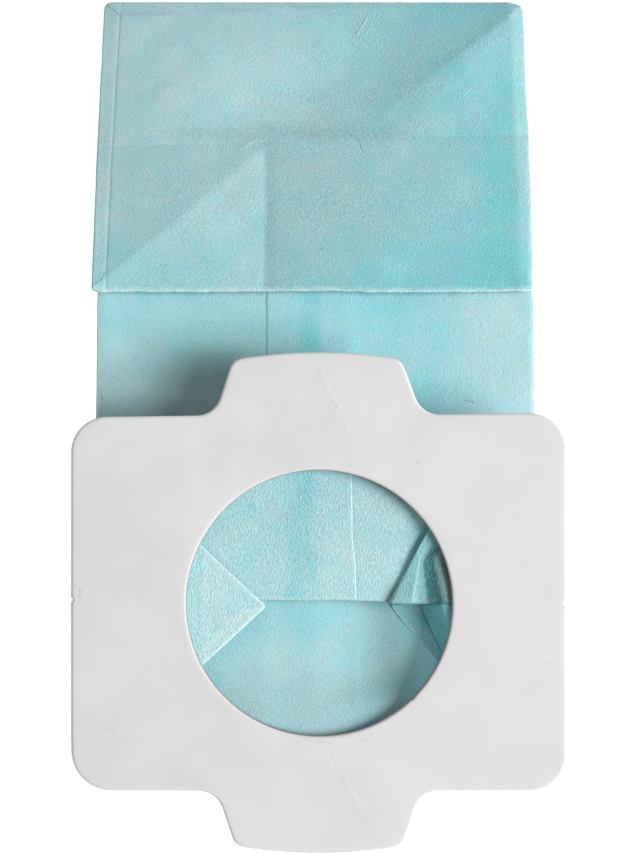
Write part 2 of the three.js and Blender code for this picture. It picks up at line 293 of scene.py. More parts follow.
def top_surface():
    step = 0.74 * K
    r = lines(0.0, 60.0, step, extra=(30.0,), fine=0.11)
    um = np.linspace(0.0, 1.0, int(round(78.0 / step)) + 1)
    um = np.unique(np.round(np.concatenate([um, [0.0014, 0.0028, 0.0052]]), 5))
    ul = np.array([0, 0.12, 0.3, 0.5, 0.68, 0.82, 0.91, 0.96, 1.0])
    ur = np.linspace(0, 1, 8)
    S = r[:, None]
    xl = -42.47 - 0.42 * S / 60 + 0.09 * noise2(S, 0 * S, 9, 5) * sstep(0, 6, S)
    xr = 39.75 - 0.33 * S / 60 + soft_knots([(0, 0.32), (18, 0.28), (26, 0.42), (30, 0.66), (34, 0.52), (44, 0.72), (52, 0.72), (60, 0.50)], S, 1.0) + 0.12 * noise2(S, 0 * S + 40, 8, 6) * sstep(0, 6, S)
    # the far right corner is rounded off, the near right one a little pulled in
    xl = xl + 0.10 * (1 - sstep(0, 0.6, S))
    xr = xr - 0.9 * (1 - sstep(0, 2.0, S)) ** 2
    wl = 2.95 - 0.60 * S / 60
    wr = 2.9 + 0.15 * S / 60
    X = np.concatenate([xl + wl * ul[None, :], (xl + wl) + ((xr - wr) - (xl + wl)) * um[None, 1:-1], (xr - wr) + wr * ur[None, :]], 1)
    # rows bend along so that one of them follows the slightly slanting middle crease
    m0, m1 = from_px(98, 148.0, 5.1), from_px(527, 135.4, 5.1)
    slant = (85 - m0[1]) + (m0[1] - m1[1]) * (X - m0[0]) / (m1[0] - m0[0]) - 30.0
    SP = S + slant * np.exp(-((S - 30) / 11.0) ** 2)
    MID = S - 30.0                     # distance from the middle crease near it
    xin_l = X - xl
    xin_r = xr - X
    Y = 85.0 - SP
    Y = Y + 0.16 * noise2(X, 0 * X, 14, 8) * (SP / 60) ** 3 + 0.05 * noise2(X, 0 * X, 3.0, 9) * (SP / 60) ** 8
    z = z_top_base(SP)

    def inside(xin, g):
        lim = np.where(S < 30, SP, 60 - SP) * g / 30
        return xin - lim              # > 0 on the side of the middle
    dl, dr = inside(xin_l, GL), inside(xin_r, GR)
    # plies underneath stop at the slanted creases and the soft sheet settles there
    blend_rows = sstep(24, 36, SP)
    mid_l = 0.14 * (1 - blend_rows) + 0.17 * blend_rows
    mid_r = 0.24 * (1 - blend_rows) + 0.10 * blend_rows
    z = z - mid_l * sstep(-1.6, 4.8, dl) - mid_r * sstep(-1.5, 4.6, dr)
    xg = -10.25
    z = z + 0.10 * sstep(-0.8, 1.6, X - xg - 0.6) * sstep(29, 34, SP) * (1 - 0.7 * sstep(0, 14, X - xg))
    z = z - 0.03 * np.exp(-(MID / 0.20) ** 2)
    cl = xin_l - wl
    z = z - 0.05 * np.exp(-(cl / 0.20) ** 2) - 0.20 * sstep(0.0, 1.0, -cl / wl) ** 1.3
    cr = xin_r - wr
    z = z - 0.27 * sstep(0.0, 1.0, -cr / wr) ** 1.5
    top_w = 2.3 - 1.9 * sstep(0.0, 1.0, (X + 39) / 50)
    ct = SP - top_w
    z = z - 0.05 * np.exp(-(ct / 0.30) ** 2) * (1 - sstep(10, 34, X)) - 0.25 * sstep(0, 1, -ct / top_w)
    # soft undulation of the sheet and a few wrinkles
    fade = sstep(0, 5, xin_l) * sstep(0, 5, xin_r) * sstep(0, 4, SP) * sstep(0, 3, 60 - SP)
    z = z + fade * (0.13 * noise2(X, Y, 17, 11) + 0.075 * noise2(X + 0.6 * Y, Y * 0.8, 6.5, 12) + 0.022 * noise2(X, Y, 2.2, 14))
    for (ax, ay, bx, by, w, h) in (
        (239.7, 149, 252, 141, 0.42, 0.10), (252, 141, 266.5, 138.6, 0.38, 0.08),
        (252, 146, 274, 138, 0.6, -0.09), (356, 33, 368, 15, 0.5, 0.13), (364, 34, 373, 22, 0.45, 0.12),
        (340, 132, 356, 141, 0.5, -0.06), (356, 141, 363, 153, 0.5, -0.05),
        (182, 252, 196, 259, 0.4, -0.06), (228, 276, 238, 283, 0.4, -0.05),
        (400, 190, 420, 184, 0.6, 0.05), (300, 210, 312, 196, 0.6, 0.05), (452, 100, 470, 88, 0.7, 0.06),
        (150, 90, 178, 62, 1.3, -0.06), (190, 118, 240, 92, 1.6, 0.07), (420, 250, 452, 262, 1.2, -0.06),
        (265.6, 150, 266, 285, 0.5, -0.05), (515, 13, 440, 70, 0.6, -0.06), (102, 279, 190, 208, 0.6, -0.05),
    ):
        p, q = from_px(ax, ay, 5.0), from_px(bx, by, 5.0)
        d, _, t = seg_dist(X, Y, p[0], p[1], q[0], q[1])
        z = z + h * np.exp(-(d / w) ** 2)
    P = np.stack([X, Y, z], -1)
    u, v = px_of(P)

    # painted light and shade on the sheet: lighter and darker on either side of its creases and in soft patches,
    # darker in two corners; the steps are out of 255.
    upper = 1 - sstep(-0.8, 0.8, MID)
    lower = 1 - upper
    wob = noise2(X, Y, 5.0, 23, 2)
    p, q = 0.885 * (u - 262) - 0.466 * (v - 78), 0.466 * (u - 262) + 0.885 * (v - 78)
    painted_light_lv = 13 * np.exp(-(p / 98) ** 2 - (q / 37) ** 2) * upper
    d = off_line(u, v, (515, 13), (372, 124)) + 1.2 * wob
    near = sstep(360, 400, u)
    soft = 2.2 + 5.0 * sstep(40, 115, v)
    painted_light_lv = painted_light_lv - 15 * np.exp(-(d / 56) ** 2) * sstep(soft, -soft, d) * upper * (0.35 + 0.65 * near)
    painted_light_lv = painted_light_lv + 8 * sstep(-soft, soft, d) * sstep(404, 440, u) * upper * (1 - 0.4 * sstep(60, 125, v))
    painted_light_lv = painted_light_lv - 8 * np.exp(-((v - 133) / 9.5) ** 2) * sstep(150, 235, u) * (1 - sstep(370, 410, u)) * upper
    painted_light_lv = painted_light_lv - 2 * np.exp(-((v - 137) / 6.0) ** 2) * upper
    d = off_line(u, v, (102, 279.5), (265, 148)) + 1.4 * wob
    left = 1 - sstep(263.4, 266.2, u + 0.5 * wob)
    close = np.exp(-(d / 14) ** 2)
    painted_light_lv = painted_light_lv + lower * left * (6.5 * sstep(2.4, -3.4, d) - 5.5 * sstep(-3.4, 2.4, d) * (close + (1 - close) * (0.65 - 0.5 * sstep(195, 240, v))))
    painted_light_lv = painted_light_lv - 4.5 * lower * np.exp(-((d - 1.6) / 2.0) ** 2) * (1 - sstep(140, 205, u)) * sstep(104, 112, u)
    painted_light_lv = painted_light_lv + 4 * lower * left * np.exp(-((u - 226) / 26) ** 2 - ((v - 226) / 30) ** 2)
    painted_light_lv = painted_light_lv + 3 * lower * left * np.exp(-((u - 262) / 9) ** 2) * sstep(150, 165, v)
    painted_light_lv = painted_light_lv - lower * (1 - left) * (4.6 * np.exp(-(((u - 266) / 40)) ** 2) + 4.0 * (1 - sstep(350, 420, u)))
    painted_light_lv = painted_light_lv + lower * (9.5 * np.exp(-((u - 392) / 34) ** 2 - ((v - 268) / 26) ** 2) + 2 * sstep(430, 480, u))
    painted_light_lv = painted_light_lv - 7 * np.exp(-((u - 521) / 13) ** 2 - ((v - 284) / 12) ** 2)
    painted_light_lv = painted_light_lv - 7 * np.exp(-((u - 116) / 22) ** 2 - ((v - 12) / 16) ** 2)
    painted_light_lv = painted_light_lv - 4.0 * lower * np.exp(-MID / 9.0) * sstep(415, 480, u) + 3.0 * upper * np.exp(MID / 8.0) * sstep(490, 515, u)
    painted_light_lv = painted_light_lv + 2.6 * noise2(X, Y, 9, 22, 3)
    tone = T_TONE * (1 + painted_light_lv / 200.0) ** 2.2
    # how cyan the fibres are
    sat = 0.34 + 0.38 * sstep(250, 500, u) + 0.22 * sstep(190, 285, v)
    sat = sat + 0.18 * np.exp(-((u - 500) / 24) ** 2) * sstep(50, 140, v) + 0.10 * (1 - sstep(10, 50, v)) * sstep(150, 400, u)
    sat = sat + 0.10 * noise2(X, Y, 13, 21, 3)
    # rim strips: greyer, the left one paler; the right strip a little lighter and the top strip a little darker,
    # painted light and shade on their slopes
    on_l = sstep(0.0, 0.25, -cl)
    on_r = sstep(0.0, 1.3, -cr)
    on_t = sstep(0.0, 0.3, -ct) * (1 - 0.8 * sstep(10, 30, X))
    sat = sat * (1 - 0.20 * on_l) * (1 - 0.30 * on_r * (1 - 0.5 * sstep(35, 60, SP))) * (1 - 0.20 * on_t)
    tone = tone * (1 + (0.06 + 0.11 * sstep(24, 58, SP)) * on_l + 0.03 * on_r * (1 - sstep(30, 50, SP)) - 0.03 * on_t)
    # painted shade: thin dark lines along the creases
    dark = 0.42 * np.exp(-(cl / 0.13) ** 2) * sstep(1.8, 2.6, SP) * sstep(58.2, 57.4, SP)
    dark = np.maximum(dark, 0.20 * np.exp(-(ct / 0.16) ** 2) * (1 - sstep(0, 26, X)) * sstep(2.2, 3.2, xin_l))
    dark = np.maximum(dark, 0.08 * np.exp(-(MID / 0.13) ** 2) * np.clip(0.75 + 0.6 * noise2(X, Y, 4, 34), 0, 1))
    # pale lines along the right side and the near edge: partly wear of the folded edges, partly painted highlight
    # where they face the lamp
    wear_and_highlight = 0.80 * sstep(0.8, 0.1, xin_r) * (0.60 + 0.40 * noise2(X, Y, 2.0, 31)) * sstep(24, 36, SP)
    wear_and_highlight = np.maximum(wear_and_highlight, 0.35 * sstep(0.7, 0.1, xin_r))
    wear_and_highlight = np.maximum(wear_and_highlight, 0.46 * sstep(0.62, 0.05, 60 - SP) * np.clip(0.60 + 0.6 * noise2(X, Y, 1.1, 33), 0, 1))
    # the pale mitre is a painted highlight on the rounded corner
    a, b = from_px(510.5, 16.5, 2.6), from_px(522.0, 5.0, 2.2)      # pale mitre in the far right corner
    wear_and_highlight = np.maximum(wear_and_highlight, 0.50 * np.exp(-(seg_dist(X, Y, a[0], a[1], b[0], b[1])[0] / 0.34) ** 2))
    sheet.grid(P, M_TOP, sat, tone, np.clip(wear_and_highlight, 0, 1), dark)
    return P, 85.0 - Y[:, 0]


TOP, SP_LINES = top_surface()


def fold(A, B, bulge, mat, sat=0.5, tone=1.0, wear_and_highlight=0.0, n=7, out=None, dark=0.0):
    """Rounded crease between two matching edge rows, bulging by `bulge` along `out`."""
    A = np.asarray(A, float)
    B = np.asarray(B, float)
    phi = np.linspace(0, math.pi, n)
    mid = (A + B) / 2
    half = (A - B) / 2
    out = np.asarray(out, float)
    P = mid[:, None, :] + half[:, None, :] * np.cos(phi)[None, :, None] + out[None, None, :] * (np.asarray(bulge, float).reshape(-1, 1, 1) * np.sin(phi)[None, :, None])
    P[:, 0] = A
    P[:, -1] = B
    def along(k):
        k = np.asarray(k, float)
        return k[:, None] if k.ndim == 1 else k
    sheet.grid(P, mat, along(sat), along(tone), along(wear_and_highlight), along(dark))
    return P


# its creases: far edge to the back, near edge doubled under, sides to the tucked triangles
e = TOP[0]                                   # far edge row
corner = sstep(-0.2, 0.5, e[:, 0] - e[0, 0]) * sstep(0.0, 1.6, e[-1, 0] - e[:, 0])
back_row = np.stack([np.clip(e[:, 0], UXL, UXR), np.full(len(e), 85.0), np.full(len(e), 0.13)], -1)
# the far crease is made darker, painted shade where it faces away from the lamp
fold(e, back_row, 0.05 + 0.52 * corner, M_TOP, sat=0.42, tone=0.84, wear_and_highlight=0.16, out=(0, 1, 0))
# near edge: a pale, fuzzy line along the fold, partly wear and partly painted highlight
e = TOP[-1]
under = np.stack([e[:, 0], e[:, 1] + 0.02, np.full(len(e), 5.9 + 0.55)], -1)
w_e = np.clip(0.54 + 0.44 * noise2(e[:, 0], 0 * e[:, 0], 1.1, 33), 0, 1)
corner = sstep(0.0, 0.9, e[:, 0] - e[0, 0]) * sstep(0.0, 0.9, e[-1, 0] - e[:, 0])
fold(e, under, 0.04 + corner * (0.26 + 0.10 * noise2(e[:, 0], 0 * e[:, 0], 2.5, 37)), M_TOP, sat=0.35, tone=0.95, wear_and_highlight=w_e, out=(0, -1, 0))
# side creases: the stronger pale line on the right is a painted highlight facing the lamp, the left one gets a faint
# line
for side, col in (("l", 0), ("r", -1)):
    e = TOP[:, col]
    sp = SP_LINES
    zt = knots([(0, 1.25), (30, 4.55), (60, 6.55)], sp)
    b = np.stack([e[:, 0], e[:, 1], np.minimum(e[:, 2] - 0.2, zt)], -1)
    corner = sstep(-0.2, 0.5 if side == "l" else 1.0, sp) * sstep(-0.1, 0.6, 60 - sp)
    fold(e, b, 0.03 + 0.23 * corner, M_TOP, sat=0.40, tone=0.9, wear_and_highlight=0.30 if side == "r" else 0.12, out=(-1 if side == "l" else 1, 0, 0))


# ---------------------------------------------------------------- front panel
def seam_x(s):
    """Inner free edge of the seam on the doubled-back part, from the photograph."""
    pts = [(351.4, 478.1), (351.9, 536.5), (354.9, 564.8), (355.9, 600.5)]
    ss, xx = [], []
    for (pu, pv) in pts:
        z = 8.0
        for _ in range(6):
            x, y = from_px(pu, pv, z)
            z = float(z_rev(y - Y0))
        ss.append(y - Y0)
        xx.append(x)
    o = np.argsort(ss)
    return np.interp(s, np.array(ss)[o], np.array(xx)[o])


F_S0, F_S1 = 30.9, 118.1
FXL, FXR = -42.20, 40.56


def front_surface():
    step = 0.84 * K
    s_vis = lines(62.0, 90.0, step)
    s = np.concatenate([np.arange(F_S0, 62.0 - 0.8, 3.0), s_vis, np.arange(92.0, F_S1 - 1, 3.0), [F_S1]])
    s = np.unique(np.round(s, 4))
    x = lines(FXL, FXR, step, extra=(SEAM_X0,), fine=0.06)
    X, S = np.meshgrid(x, s)
    k = sstep(86, 91, S)
    X = X + k * np.where(X < 0, (UXL - FXL) * X / FXL, (UXR - FXR) * X / FXR)
    Y = Y0 + S
    z = z_frontply(S)
    z = z + 0.13 * sstep(-0.13, 0.13, X - SEAM_X0) - 0.065      # outer ply on the right
    # where the inner ply ends underneath the sheet settles softly
    z = z - 0.10 * sstep(-1.2, 1.4, X - SEAM_X1)
    fade = sstep(0, 3, X - FXL) * sstep(0, 3, FXR - X) * sstep(F_S0, F_S0 + 6, S)
    z = z + fade * (0.14 * noise2(X, Y, 16, 41) + 0.05 * noise2(X, Y, 6, 42))
    z = z - 0.12 * (1 - sstep(0, 1.2, X - FXL)) ** 2 - 0.14 * (1 - sstep(0, 1.2, FXR - X)) ** 2
    P = np.stack([X, Y, z], -1)
    u, v = px_of(P)
    sat = 0.55 + 0.10 * noise2(X, Y, 12, 43, 2)
    sat = sat + 0.05 - 0.24 * sstep(18, 40, X) + 0.10 * np.exp(-((X - 12) / 9) ** 2)
    glue = np.exp(-((X + 1.9) / 2.0) ** 4)
    sat = sat + 0.34 * glue * (0.75 + 0.5 * noise2(X, Y * 0.5, 2.0, 44))
    tone = F_TONE - 0.045 * glue + 0.045 * noise2(X, Y, 8, 45, 3)
    tone = tone + 0.02 * sstep(15, 36, X) - 0.03 * sstep(37, 40.4, X) + 0.02 * (1 - sstep(-41.5, -36, X))
    tone = tone + 0.03 * np.exp(-((X - SEAM_X0 - 1.2) / 1.4) ** 2) * (X > SEAM_X0)
    # painted shadow line along the outer ply's edge, stronger low down near the tab
    dark = (0.05 + 0.12 * (1 - sstep(66, 80, S))) * np.exp(-((X - SEAM_X0 + 0.09) / 0.12) ** 2)
    # painted shadow of the collar's tab: soft, darker and greyer, left of the tab
    left = 1 - sstep(225, 262, u)
    by_tab = np.exp(-((u - 196) / 30) ** 2) * sstep(352, 396, v)
    above = np.exp(-((u - 212) / 48) ** 2) * sstep(338, 360, v) * (1 - sstep(362, 392, v))
    low = (0.08 * sstep(345, 378, v) + 0.21 * sstep(384, 416, v)) * (1 - 0.5 * sstep(168, 188, u))
    low = low + 0.08 * np.exp(-((u - 163) / 16) ** 2) * sstep(362, 376, v)
    tone = tone * (1 - left * (0.24 * above + low + 0.02 * by_tab))
    sat = sat - left * (0.38 * np.clip((v - 310) / 95, 0, 1) ** 1.5 + 0.15 * by_tab)
    wear_and_highlight = 0.25 * (1 - sstep(0, 0.5, X - FXL)) + 0.25 * (1 - sstep(0, 0.5, FXR - X))
    sheet.grid(P, M_FRONT, sat, tone, wear_and_highlight, dark)
    return P, s


FRONT, F_LINES = front_surface()


def rev_surface():
    s = lines(F_S0, 60.0, 0.70 * K)
    x = lines(FXL, FXR, 0.74 * K, extra=(SEAM_X1,), fine=0.07)
    X, S = np.meshgrid(x, s)
    sx = seam_x(s)[:, None]
    X = X + (sx - SEAM_X1) * np.exp(-((X - SEAM_X1) / 7.0) ** 2)
    dx = X - sx
    Y = Y0 + S
    z = z_rev(S)
    z = z - 0.19 * sstep(-0.06, 0.06, dx)                  # inner ply ends here
    # under the tucked triangles the sheet lies lower
    for xin, lim in ((X - XL, (60 - S) * GL / 30), (XR - X, lim_right(S))):
        z = z - 0.35 * sstep(-0.5, 2.5, lim - xin)
    fade = sstep(F_S0, F_S0 + 3, S)
    z = z + fade * (0.10 * noise2(X, Y, 11, 51) + 0.03 * noise2(X, Y, 4.5, 52))
    # the fold line itself is not quite straight
    Y = Y + (0.16 * noise2(X, 0 * X, 13, 53) + 0.07 * noise2(X, 0 * X, 3.2, 54)) * (1 - sstep(F_S0, F_S0 + 2.5, S))
    # shallow cross crease in the middle and long vertical rolls
    z = z + 0.05 * np.cos((X + 4) / 3.4) * np.exp(-((X - 2) / 12) ** 2) * sstep(31, 35, S) * (1 - sstep(42, 50, S))
    P = np.stack([X, Y, z], -1)
    # lies low along the slanted edge of the right tucked triangle
    under_r = lim_right(S) - (XR - X)
    P[..., 2] = P[..., 2] - 0.55 * sstep(-2.6, 0.3, under_r) * sstep(33.0, 42.0, S)
    sat = 0.40 + 0.10 * noise2(X, Y, 10, 55, 2)
    glue = np.exp(-((X + 3.2) / 2.9) ** 4)
    sat = sat + 0.42 * glue * np.clip(0.65 + 0.7 * noise2(X * 1.6, Y * 0.55, 1.9, 56, 3), 0, 1.3)
    tone = 1.045 * R_TONE - 0.075 * glue * np.clip(0.6 + 0.8 * noise2(X * 1.7, Y * 0.6, 1.7, 57, 3), 0, 1.4) + 0.025 * noise2(X, Y, 5, 58)
    # paler strip left of the free edge low down
    tone = tone + 0.03 * np.exp(-((dx + 2.2) / 2.4) ** 2) * (1 - sstep(38, 46, S))
    sat = sat - 0.10 * np.exp(-((dx + 2.2) / 2.4) ** 2) * (1 - sstep(38, 46, S))
    # pale line on the inner ply's free edge, a painted highlight on its lit step; pale fold edge low down, partly
    # wear and partly painted highlight
    wear_and_highlight = 0.52 * np.exp(-((dx + 0.02) / 0.10) ** 2) * (0.8 + 0.3 * noise2(X, Y, 2.0, 59))
    wear_and_highlight = np.maximum(wear_and_highlight, 0.35 * (1 - sstep(0, 0.5, S - F_S0)) * sstep(4, 12, X))
    wear_and_highlight = np.maximum(wear_and_highlight, 0.14 * (1 - sstep(0, 0.5, S - F_S0)))
    # painted light in shadow: the shadow band left of the right triangle's edge and the rim shadow near the right are
    # lightened and made more cyan; the sheet is also a little lighter low down
    shade = sstep(-2.4, -0.6, under_r) * sstep(31, 36, S)
    tone = tone * (1 + 0.05 * (1 - sstep(34, 46, S))) * (1 + 0.48 * np.maximum(shade, sstep(11, 19, X) * sstep(41, 47, S)))
    sat = sat + 0.35 * shade
    # painted shade: a dark line along the right triangle's edge
    dark = 0.10 * np.exp(-((under_r + 0.3) / 0.5) ** 2) * sstep(31, 34, S)
    sheet.grid(P, M_IN, sat, tone, np.clip(wear_and_highlight, 0, 1), dark, flip=True)
    return P, s, x


REV, R_LINES, R_X = rev_surface()
# crease between the front panel and its doubled-back part
e = REV[0]
lower = np.stack([e[:, 0], e[:, 1] + 0.04, np.interp(e[:, 0], FRONT[0, :, 0], FRONT[0, :, 2])], -1)
fold(e, lower, 0.30, M_IN, sat=0.42, tone=1.0, wear_and_highlight=0.22, out=(0, -1, 0))
# crease between the doubled-back part and the near end rectangle
e = REV[-1]
upper = np.stack([e[:, 0], e[:, 1] - 0.02, np.full(len(e), float(z_end(60.0)))], -1)
fold(e, upper, 0.38, M_FRONT, sat=0.45, wear_and_highlight=0.2, out=(0, 1, 0))


# ---------------------------------------------------------------- back panel
def back_surface():
    s = np.unique(np.round(np.concatenate([lines(0, 34, 1.1 * K), np.arange(36, 149, 5.0), [149.0]]), 4))
    x = lines(-1.0, 1.0, 1.2 * K / 41, fine=0.01)
    x, S = np.meshgrid(x, s)
    k = sstep(58, 64, S)
    X = np.where(x < 0, -x * (XL + (UXL - XL) * k), x * (XR + (UXR - XR) * k))
    Y = Y0 + S
    z = z_back(X, S)
    hole = np.exp(-(((X - 1) / 19) ** 2 + ((S - 18) / 12) ** 2) ** 2)
    z = z + hole * (1 - sstep(4, 11, X)) * (0.12 * noise2(X, Y, 12, 61) + 0.04 * noise2(X, Y, 5, 62))
    # faint upright crease seen low in the hole
    z = z + 0.05 * np.exp(-((X - 7.1) / 0.35) ** 2) * (1 - sstep(21, 25, S)) * sstep(8, 14, S)
    P = np.stack([X, Y, z], -1)
    # painted light in shadow: much lighter and more cyan towards the right, where the collar's rim shadow falls, and
    # a little lighter on the left; elsewhere a little darker right of the middle and towards the near crease
    tone_r = (1 + 0.06 * (1 - sstep(-14, -2, X))) * (1 - 0.13 * sstep(-2, 10, X) * sstep(10, 15, S)) * (1 + 1.02 * sstep(12.5, 20.5, X))
    sat = 0.42 + 0.18 * sstep(16, 30, S) + 0.08 * noise2(X, Y, 9, 63) + 0.12 * sstep(12, 19, X)
    tone = B_TONE * tone_r * (1.0 - 0.08 * (1 - sstep(6, 18, S))) + 0.03 * noise2(X, Y, 7, 64, 2)
    # pale line on the faint crease, a painted highlight
    wear_and_highlight = 0.10 * np.exp(-((X - 7.1) / 0.3) ** 2) * (1 - sstep(21, 25, S)) * sstep(8, 14, S)
    sheet.grid(P, M_BACK, sat, tone, wear_and_highlight, 0.0, flip=True)
    return P, s


BACK, B_LINES = back_surface()


# ---------------------------------------------------------------- tucked triangles, near end
def triangle(side):
    g = GL if side == "l" else GR
    edge = XL if side == "l" else XR
    sgn = 1.0 if side == "l" else -1.0
    left = side == "l"
    s = np.linspace(0.0, 60.0, int(round((54 if left else 59) / K)) * 2 + 1)
    if not left:
        s = np.unique(np.round(np.concatenate([s, [29.97, 29.99]]), 4))
    fine = 1 - np.array([0.004, 0.010, 0.018, 0.03])
    f = np.unique(np.round(np.concatenate([np.linspace(0, 1, int(round(38 / K)) + 1), fine]), 4))
    lim = np.where(s < 30, s, 60 - s) * g / 30 if left else lim_right(s)
    if left:
        xin = lim[:, None] * f[None, :]
    else:
        # rows of breaks: rim, right of the dark facet, its left, the ridge, the slanted edge
        y = Y0 + s
        _, v = to_px(20.0 + 0 * s, y, z_tri(s) - 0.5)
        kk = np.clip((v - 546.0) / 58.0, 0.0, 1.0)
        dv = np.maximum(v - 604.0, 0.0)
        fold_u = np.interp(v, [604, 616, 636, 650, 700], [422.0, 424.5, 433.6, 440.3, 464.0])
        cuts = []
        for q, (top_u, low_u) in enumerate(((428.8, 442.2), (420.6, 428.4), (421.0, 411.8))):
            u = top_u + (low_u - top_u) * kk
            u = np.where(v < 604, u, (low_u + 0.37 * dv, fold_u, fold_u - 3.0 + 0.2 * dv)[q])
            d = CAM_D + y * FWD[1] + (z_tri(s) - 0.5) * FWD[2]
            cuts.append(XR - (u - 320) * d / F_PX)
        brk = [0 * s] + cuts + [lim]
        for q in range(1, 5):      # keep them in order where the triangle is too short
            brk[q] = np.maximum(np.minimum(brk[q], lim * (1 - 0.045 * (4 - q))), brk[q - 1] + 0.012 * lim)
        brk[4] = lim
        parts = []
        for q, n in enumerate((18, 8, 8, 15)):
            n = max(3, int(round(n / K)))
            w = np.linspace(0, 1, n + 1)
            if q == 3:
                w = np.unique(np.round(np.concatenate([w, 1 - np.array([0.012, 0.03, 0.06])]), 4))
            w = w[(0 if q == 0 else 1):]
            parts.append(brk[q][:, None] + (brk[q + 1] - brk[q])[:, None] * w[None, :])
        xin = np.concatenate(parts, 1)
        lines_at = np.cumsum([p.shape[1] for p in parts])[:3] - 1
    S = np.broadcast_to(s[:, None], xin.shape).copy()
    L = np.broadcast_to(lim[:, None], xin.shape)
    X = edge + sgn * xin
    Y = Y0 + S
    if left:
        Y = Y - 0.55 * sstep(4, 26, xin)      # this one sits a little lower than the fold line
    z = z_tri(S) - 1.0 * (xin / g) ** 2
    d_edge = (L - xin) * (30 / math.hypot(30, g))     # distance inwards from the slanted edge
    fade = sstep(0, 2.5, d_edge)
    z = z + fade * (0.08 * noise2(X, Y, 8, 71 if left else 72) + 0.03 * noise2(X, Y, 3.0, 73))
    sat = 0.40 + 0.10 * noise2(X, Y, 7, 74)
    tone = 1.0 + 0.02 * noise2(X, Y, 5, 75)
    wear_and_highlight = 0 * X
    dark = 0 * X
    u, v = to_px(X, Y, z)
    if left:
        # faint upright crease with a pale line on it, a painted highlight; a pale band along the lower slanted edge
        # and bright lines on the slanted edges, the lines painted highlights
        xc = from_px(203.5, 600, 6.5)[0]
        z = z + 0.10 * np.exp(-((X - xc) / 0.35) ** 2)
        wear_and_highlight = 0.30 * np.exp(-((X - xc - 0.1) / 0.22) ** 2)
        tone = 1.12 * R_TONE + 0.03 * noise2(X, Y, 5, 75, 2)
        low = S < 30
        band = np.exp(-((d_edge - 1.0) / 1.15) ** 4) * low
        wear_and_highlight = np.maximum(wear_and_highlight, 0.42 * band * np.clip(0.70 + 0.55 * noise2(X, Y, 1.3, 76, 3), 0, 1.2) * sstep(10, 26, xin))
        wear_and_highlight = np.maximum(wear_and_highlight, 0.20 * np.exp(-((d_edge - 0.3) / 0.6) ** 2) * (~low))
        wear_and_highlight = np.maximum(wear_and_highlight, np.where(low, 0.80, 0.34 + 0.3 * sstep(24, 30, xin)) * (1 - sstep(0.05, 0.36, d_edge)) * sstep(8, 14, xin) * np.clip(0.85 + 0.4 * noise2(X, Y, 1.6, 78), 0, 1))
        sat = sat - 0.12 - 0.16 * band + 0.10 * (X < xc)
        z = z + 0.10 * (1 - sstep(0.0, 1.6, d_edge))
    else:
        # the crushed part: flat facets between the breaks, deepest at the middle crease
        col = np.arange(X.shape[1])
        k = np.clip((v - 546.0) / 58.0, 0, 1.0)
        anchors = [0, lines_at[0], lines_at[1], lines_at[2], X.shape[1] - 1]
        upper_half = (S >= 29.995).astype(float)

        def across(vals):
            return np.interp(col, anchors, vals)[None, :]
        k_end = sstep(536.0, 548.0, v)
        prof = across([0.2, 1.0, -0.42, 0.86, 0.0]) * k + across([0.0, 0.22, 0.0, 0.0, 0.0]) * k_end
        high = z + prof
        # below the middle crease the paper falls from the side strip down to the back panel
        cc = col[None, :]
        fall = across([0.0, 0.0, 1.0, 1.0, 1.0])
        low = z_back(X, S) + 0.40 + 0.10 * across([0, 0, 1.0, 0.8, 0.0]) + 0.05 * noise2(X, Y, 6, 77)
        low = np.minimum(z + across([0.2, 1.0, 0, 0, 0]), low * fall + (z + across([0.2, 1.0, 0, 0, 0])) * (1 - fall))
        drop = np.maximum(z - low, 0)
        z = high * upper_half + low * (1 - upper_half)
        Y = Y + 0.176 * drop * (1 - upper_half)
        # pale lines on the ridge, on the strip by the rim and along the slanted edge: painted highlights
        wear_and_highlight = 0.24 * np.exp(-((cc - lines_at[2]) / 0.8) ** 2) * sstep(550, 560, v) * upper_half
        wear_and_highlight = np.maximum(wear_and_highlight, 0.20 * np.exp(-((cc - lines_at[0] + 1.2) / 0.8) ** 2) * sstep(538, 546, v))
        wear_and_highlight = np.maximum(wear_and_highlight, 0.16 * np.exp(-((cc - lines_at[1]) / 0.8) ** 2) * (1 - upper_half))
        wear_and_highlight = np.maximum(wear_and_highlight, np.where(S < 30, 0.20, 0.12) * (1 - sstep(0.05, 0.40, d_edge)))
